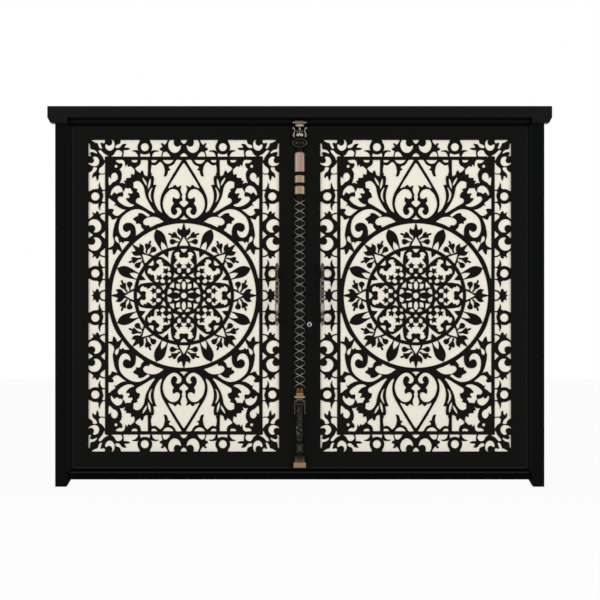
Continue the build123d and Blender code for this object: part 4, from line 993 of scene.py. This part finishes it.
def column_collar_piece():
    """A dark drum over a cone that flares to a flange, both lighter as painted light, with a small step below
    it.
    """
    low, high = span("column_collar")
    drum = Solid()
    drum.half_turned(profile(low, (25, 42), (27, 46), (27, 66), (25, 68)) + profile(high, (25, 0)), 0, face_y,
                     squared(3), -3 * MM, 40)
    drum.half_turned(profile(low, (25, 6), (26, 13)), 0, face_y, steps=40)
    drum.piece("column_collar_drum", aged_bronze, "right_leaf", "rose_bronze", replaced=("column_collar",))
    cone = Solid()
    for rows in (((24, 0), (25, 2), (25, 7)), ((32, 22), (29.5, 28), (28.5, 36), (26.5, 45))):
        cone.half_turned(profile(low, *rows), 0, face_y, squared(3), steps=40)
    cone.piece("column_collar_cone", cone_lit_bronze, "right_leaf", "rose_bronze")
    flange = Solid()
    flange.half_turned(profile(low, (33, 12), (37, 13.5), (37.4, 22), (33, 25.5)), 0, face_y, squared(4),
                       steps=48)
    flange.buds(face_y, low, *[(x, 26, -10, 4, 3, 3.2, 8) for x in (21, -21)])
    flange.piece("column_collar_flange", flange_lit_bronze, "right_leaf", "rose_bronze")


def column_lower_shaft_pieces():
    """The lower shaft: a small framed panel, filigree down its front and a relief block near its foot."""
    low, high = span("column_lower_shaft")
    block_low, block_high = low + 20 * MM, low + 76 * MM
    block_face = face_y - 28 * MM
    core = Solid()
    core.half_turned(profile(low, (26, 0)) + profile(high, (26, 0)), 0, face_y, steps=40)
    core.box(-36 * MM, 36 * MM, face_y - 5 * MM, face_y, low, high)
    core.box(-27 * MM, 27 * MM, block_face, face_y, block_low, block_high)
    core.piece("column_lower_shaft_core", powder_coat, "right_leaf", "black_steel",
               replaced=("column_lower_shaft",))
    frame_low, frame_high = high - 92 * MM, high - 2 * MM
    edging = Solid()
    for x in (-32, 32):
        edging.box((x - 3.5) * MM, (x + 3.5) * MM, face_y - 10 * MM, face_y - 5 * MM, frame_low, frame_high)
    for z, half, depth in ((high - 30 * MM, 32, 6), (frame_high - 5 * MM, 32, 5), (high - 60 * MM, 21, 3)):
        edging.box(-half * MM, half * MM, face_y - 29 * MM, face_y - 5 * MM, z, z + depth * MM)
    edging.piece("column_lower_frame", filigree_pewter, "right_leaf", "dark_pewter", smooth=False,
                 bevel=1 * MM)
    column_filigree_pieces(face_y - 27 * MM, block_high + 22 * MM, high - 34 * MM, block_low, block_high)


def column_filigree_pieces(front, first, last, block_low, block_high):
    """Winding strands with small leaves between two heights, and the star on the relief block."""
    filigree, strand, steps = Solid(), 1.5 * MM, 84
    # Hand, half turns and reach in mm of each strand
    for hand, turns, reach in ((1, 6.5, 19), (-1, 6.5, 19), (1, 4.5, 13), (-1, 8.5, 9)):
        path = []
        for k in range(steps + 1):
            s = k / steps
            sway = sin(pi * turns * s + 0.5 * sin(9 * s))
            path.append((hand * reach * MM * sway, front + 9 * MM * sway**2, first + (last - first) * s))
        filigree.tube(path, strand)
    scatter, count = random.Random(7), 34
    leaves = {"dull": Solid(), "rubbed": Solid()}
    for k in range(count):
        share = (k + 0.5) / count
        z = first + (last - first) * share
        x, tilt = scatter.uniform(-20, 20), scatter.choice((-1, 1))
        tone = "rubbed" if 0.15 < share < 0.42 or k % 7 == 0 else "dull"
        leaf_blade(leaves[tone], (x * MM, z - 5 * MM), ((x + 8 * tilt) * 0.9 * MM, z + 5 * MM), 5 * MM,
                   front + (x / 20) ** 2 * 8 * MM, 2.5 * MM)
    leaves["dull"].piece("column_filigree_leaves", filigree_pewter, "right_leaf", "dark_pewter")
    leaves["rubbed"].piece("column_filigree_rubbed", pewter, "right_leaf", "pewter")
    middle, relief = (block_low + block_high) / 2, face_y - 29 * MM
    for k in range(8):
        a, reach = pi * k / 4, 33 if k % 2 else 24
        leaf_blade(filigree, (4 * MM * cos(a), middle + 5 * MM * sin(a)),
                   (reach * MM * cos(a), middle + reach * 1.06 * MM * sin(a)), 9 * MM, relief, 4 * MM)
    for z in (block_low + 4 * MM, block_high - 4 * MM):
        filigree.tube([(-23 * MM, relief, z), (23 * MM, relief, z)], strand)
    filigree.buds(relief, middle, (0, 1, 2, 7, 4, 8, 8))
    filigree.piece("column_filigree", filigree_pewter, "right_leaf", "dark_pewter")


def column_base_piece():
    """A dark cast drum that lightens downwards, on a plinth whose brighter bronze is painted light."""
    low, high = span("column_base")
    plinth_top = low + 39 * MM
    rows = profile(plinth_top, (36, -2), (37, 2), (36, 6), (35.5, 20)) + profile(high, (36, -4), (34.5, 0))
    drum = Solid()
    drum.half_turned(rows, 0, face_y, squared(4.5), steps=48)
    drum.piece("column_base_drum", upward_darkening_bronze, "right_leaf", "rose_bronze", replaced=("column_base",))
    plinth = Solid()
    plinth.box(-38.5 * MM, 38.5 * MM, face_y - 42 * MM, face_y, low + 7 * MM, plinth_top)
    plinth.piece("column_base_plinth", plinth_lit_bronze, "right_leaf", "rose_bronze", smooth=False, bevel=2 * MM)


column_shaft_pieces()
column_band_pieces()
column_neck_piece()
column_ring_piece()
column_capital_pieces()
column_collar_piece()
column_lower_shaft_pieces()
column_base_piece()

# The pulls, upwards from their lower end: the top of each length and its widest radius in mm, and its tone,
# bright for painted highlight, mid and dark for painted shade
PULL_LENGTHS = (
    (18, 8, "bright"), (32, 12.6, "bright"), (48, 10.5, "dark"), (70, 13, "bright"), (88, 11, "mid"),
    (150, 12.6, "bright"), (164, 10, "dark"), (180, 13, "bright"), (190, 10, "dark"), (197, 12.8, "bright"),
    (201, 11, "dark"), (208, 12.8, "bright"), (212, 11, "dark"), (219, 12.8, "bright"), (223, 11, "dark"),
    (230, 12.8, "bright"), (244, 10, "dark"), (259, 13, "bright"), (281, 10.5, "dark"), (295, 13, "bright"),
    (311, 11, "mid"), (352, 12, "dark"), (361, 13, "bright"), (371, 10.5, "mid"), (387, 12.4, "mid"),
    (400, 9, "dark"),
)
PULL_CENTRE = 143.5 * MM
# A length longer than this is a rod, straight along its middle
ROD_LENGTH = 30


def pull_handle(side, hand):
    """A slim turned pull with knobs, beads and pointed ends: bright rings of painted highlight between waists
    of painted shade.
    """
    low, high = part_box(f"{side}_pull_grip")
    x, y = hand * PULL_CENTRE, (low.y + high.y) / 2
    scale = (high.z - low.z) / PULL_LENGTHS[-1][0]
    grips = {"bright": Solid(), "mid": Solid(), "dark": Solid()}
    start, steps = 0, 8
    turns = [2 * pi * n / 20 for n in range(20)]
    for k, (end, radius, tone) in enumerate(PULL_LENGTHS):
        rows = []
        for i in range(steps + 1):
            s = i / steps
            if k == 0:
                swell = 0.08 + 0.92 * sin(pi / 2 * s)
            elif k == len(PULL_LENGTHS) - 1:
                swell = 0.08 + 0.92 * cos(pi / 2 * s) ** 0.7
            elif tone == "dark" or (end - start > ROD_LENGTH and 0.1 < s < 0.9):
                swell = 1.0
            else:
                swell = 0.62 + 0.38 * sin(pi * s) ** 0.7
            r = radius * swell * MM
            z = low.z + (start + (end - start) * s) * scale
            rows.append([(x + r * cos(t), y + r * sin(t), z) for t in turns])
        grips[tone].rows(rows)
        start = end
    # Bright lengths are painted highlight, mid and dark lengths painted shade
    for tone, finish, slot in (
        ("bright", pull_highlight_pewter, "pewter"), ("mid", mid_pewter, "pewter"),
        ("dark", pull_shade_metal, "dark_pewter"),
    ):
        replaced = (f"{side}_pull_grip",) if tone == "bright" else ()
        grips[tone].piece(f"{side}_pull_{tone}_turnings", finish, f"{side}_leaf", slot, replaced=replaced)


for side, hand in (("left", -1), ("right", 1)):
    pull_handle(side, hand)


def lock_piece():
    """The lock cylinder: a domed rose, a plug sunk in it, darker as painted shade, and a black block of
    painted shade for the keyway, with the barrel behind.
    """
    low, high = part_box("lock_cylinder")
    x, z, front = (low.x + high.x) / 2, (low.z + high.z) / 2, low.y
    rose = Solid()
    rim = profile(front, (17.5, 5), (16.5, 3), (14.5, 1.2), (12, 0.3), (10.8, 0.4), (10, 2))
    rose.turned(profile(face_y, (17.5, 0)) + rim, x, z)
    rose.turned(profile(high.y, (12.7, 0), (12.7, -4)), x, z)
    rose.piece("lock_rose", chrome, "right_leaf", "chrome", replaced=("lock_cylinder",))
    # The plug is chrome, coloured as a darker pewter: painted shade
    plug = Solid()
    plug.turned(profile(front, (9.6, 4), (9.6, 1), (8.8, 0.4)), x, z)
    plug.piece("lock_plug", mid_pewter, "right_leaf", "chrome")
    # A black block just proud of the plug: painted shade in the keyway
    keyway = Solid()
    keyway.box(x - 1.4 * MM, x + 1.4 * MM, front + 0.1 * MM, front + 1.5 * MM, z - 6 * MM, z + 4 * MM)
    keyway.piece("lock_keyway", seal_and_painted_shade, "right_leaf", "black_steel", smooth=False)


lock_piece()


def seals():
    """Brush seals between the leaves, and lighter strips of painted highlight along each leaf's hinge edge
    and foot.
    """
    left_low, left_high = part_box("left_meeting_stile")
    right_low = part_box("right_meeting_stile")[0]
    play, proud, edge_radius = 0.3 * MM, 1.2 * MM, 0.5 * MM
    foot, top, back = left_low.z, left_high.z, left_high.y
    pile = Solid()
    pile.box(left_high.x, right_low.x - play, back - 14 * MM, back - 8 * MM, foot, top)
    pile.piece("meeting_brush_seal", seal_and_painted_shade, "left_leaf", "black_steel", smooth=False)
    strip = Solid()
    strip.box(left_high.x + play, right_low.x, face_y, face_y + 6 * MM, foot, top)
    strip.piece("meeting_cover_strip", powder_coat, "right_leaf", "black_steel", smooth=False)
    for side, hand in (("left", -1), ("right", 1)):
        low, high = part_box(f"{side}_hinge_stile")
        edge = low.x if hand < 0 else high.x
        inner = left_high.x if hand < 0 else right_low.x
        # Lighter strips up the hinge edge and across the foot of each leaf: painted highlight
        foot_strip_top = low.z + 11 * MM
        bead = Solid()
        bead.box(edge, edge + hand * 6 * MM, low.y + 1 * MM, low.y + 7 * MM, low.z, high.z)
        bead.box(edge, edge - hand * 10 * MM, low.y - proud, low.y, foot_strip_top, high.z - 16 * MM)
        bead.piece(f"{side}_hinge_highlight_strip", painted_highlight_coat, f"{side}_leaf", "black_steel", False, (), edge_radius)
        lower_strip = Solid()
        lower_strip.box(edge, inner, low.y - proud, low.y, low.z, foot_strip_top)
        lower_strip.piece(f"{side}_foot_highlight_strip", painted_highlight_coat, f"{side}_leaf", "black_steel", False, (), edge_radius)


def frame_trims():
    """Dark strips of painted shade on the head's two slopes, the jambs' slanted faces in a coat of painted
    light, and a lighter strip of painted highlight on the threshold's tread.
    """
    low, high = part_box("frame_head")
    half, thick = high.x, 0.8 * MM
    lines = Solid()
    # How far each strip of painted shade stays from the head's ends, and its upper and lower edge in y and z
    for inset, top_y, top_z, foot_y, foot_z in (
        (0, low.y + 1 * MM, high.z - 0.6 * MM, low.y + 25 * MM, high.z - 15.5 * MM),
        (25 * MM, low.y + 25 * MM, low.z + 14.5 * MM, low.y + 43 * MM, low.z),
    ):
        away = Vector((top_z - foot_z, foot_y - top_y)).normalized() * thick
        corners = [(top_y, top_z), (foot_y, foot_z), (foot_y - away.x, foot_z - away.y),
                   (top_y - away.x, top_z - away.y)]
        lines.rows([[(x, y, z) for y, z in corners] for x in (inset - half, half - inset)])
    lines.piece("head_painted_shade_strips", seal_and_painted_shade, "frame", "black_steel", smooth=False)
    # The jambs' slanted faces take a lighter coat: painted light
    splay_foot, splay_width = 50 * MM, 16 * MM
    for side, hand in (("left", -1), ("right", 1)):
        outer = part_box(f"jamb_{side}")[0 if hand > 0 else 1].x
        edge = outer + hand * splay_width
        corners = [(outer, low.y + 24 * MM), (edge, low.y - 0.5 * MM),
                   (edge, low.y + 1 * MM), (outer, low.y + 26 * MM)]
        splay = Solid()
        splay.rows([[(x, y, z) for x, y in corners] for z in (splay_foot, low.z - 6 * MM)])
        splay.piece(f"jamb_{side}_splay", painted_light_slant_coat, "frame", "black_steel", smooth=False)
    sill_low, sill_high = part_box("threshold")
    # A lighter strip along the threshold's tread: painted highlight
    tread_strip = Solid()
    tread_strip.box(sill_low.x, sill_high.x, sill_low.y + 10 * MM, sill_low.y + 25 * MM, 34 * MM, 49 * MM)
    tread_strip.piece("threshold_highlight_strip", painted_highlight_coat, "frame", "black_steel", smooth=False, bevel=2 * MM)


seals()
frame_trims()


def seen_directly(tree):
    """One where a ray comes from the camera, a reflection or clear glass, so that these show the white."""
    rays = add_node(tree, "ShaderNodeLightPath").outputs
    larger = {"operation": "MAXIMUM"}
    mirrored = {0: rays["Is Glossy Ray"], 1: rays["Is Transmission Ray"]}
    mirror_ray = add_node(tree, "ShaderNodeMath", larger, mirrored).outputs[0]
    return add_node(tree, "ShaderNodeMath", larger, {0: rays["Is Camera Ray"], 1: mirror_ray}).outputs[0]


def studio_floor():
    """A pale floor that is white where it is seen and keeps the door's shadow."""
    reach, level = 30, cad_low.z - 0.5 * MM
    mesh = bpy.data.meshes.new("studio_floor")
    corners = [(x, y, level) for x, y in ((-reach, -reach), (reach, -reach), (reach, reach), (-reach, reach))]
    mesh.from_pydata(corners, [], [(0, 1, 2, 3)])
    floor = bpy.data.objects.new("studio_floor", mesh)
    bpy.context.scene.collection.objects.link(floor)
    pale = bpy.data.materials.new("studio_paper")
    pale.use_nodes = True
    tree = pale.node_tree
    paper = tree.nodes["Principled BSDF"]
    paper.inputs["Base Color"].default_value = linear("#E4E4E2")
    paper.inputs["Roughness"].default_value = 0.9
    paper.inputs["Specular IOR Level"].default_value = 0.1
    floor.data.materials.append(pale)
    white = add_node(tree, "ShaderNodeEmission", {"Color": (1, 1, 1, 1), "Strength": 1.0})
    share = add_node(tree, "ShaderNodeMath", {"operation": "MULTIPLY"}, {0: seen_directly(tree)})
    share.inputs[1].default_value = 0.95
    mixed = {0: share.outputs[0], 1: paper.outputs[0], 2: white.outputs[0]}
    surface = add_node(tree, "ShaderNodeMixShader", None, mixed).outputs[0]
    tree.links.new(surface, tree.nodes["Material Output"].inputs["Surface"])


def studio_world():
    """A soft white light all round, and white where it is seen."""
    world = bpy.data.worlds.new("studio_world")
    world.use_nodes = True
    bpy.context.scene.world = world
    tree = world.node_tree
    sky = tree.nodes["Background"]
    sky.inputs["Color"].default_value = (1, 1, 1, 1)
    strengths = {"To Min": 0.36, "To Max": 1.0}
    level = add_node(tree, "ShaderNodeMapRange", strengths, {"Value": seen_directly(tree)})
    tree.links.new(level.outputs["Result"], sky.inputs["Strength"])


def studio_lamps():
    """Two softboxes in front, and one above the camera, aimed at the door's middle."""
    aim = Vector((0, 0, 1.13))
    for name, place, width, height, watts in (
        ("left_softbox", (-6.2, -7.2, 1.3), 3.5, 2.7, 245),
        ("right_softbox", (6.2, -7.2, 1.3), 3.5, 2.7, 245),
        ("high_softbox", (0, -8.0, 7.2), 6.0, 3.0, 142),
    ):
        lamp = bpy.data.lights.new(name, "AREA")
        lamp.shape, lamp.size, lamp.size_y, lamp.energy = "RECTANGLE", width, height, watts
        holder = bpy.data.objects.new(name, lamp)
        holder.location = place
        holder.rotation_euler = (aim - Vector(place)).to_track_quat("-Z", "Y").to_euler()
        bpy.context.scene.collection.objects.link(holder)


def photo_camera():
    """The photograph's view: from far in front, level with the door's middle."""
    seen_width, distance, sensor = 3.7786, 22.0, 36.0
    lens = bpy.data.cameras.new("photo_camera")
    lens.sensor_width = sensor
    lens.lens = sensor * (distance + cad_low.y) / seen_width
    lens.clip_end = 200
    camera = bpy.data.objects.new("photo_camera", lens)
    camera.location = (0.0017, -distance, 1.132)
    camera.rotation_euler = (radians(90), 0, 0)
    bpy.context.scene.collection.objects.link(camera)
    bpy.context.scene.camera = camera


bpy.context.scene.view_settings.view_transform = "Standard"
studio_floor()
studio_world()
studio_lamps()
photo_camera()
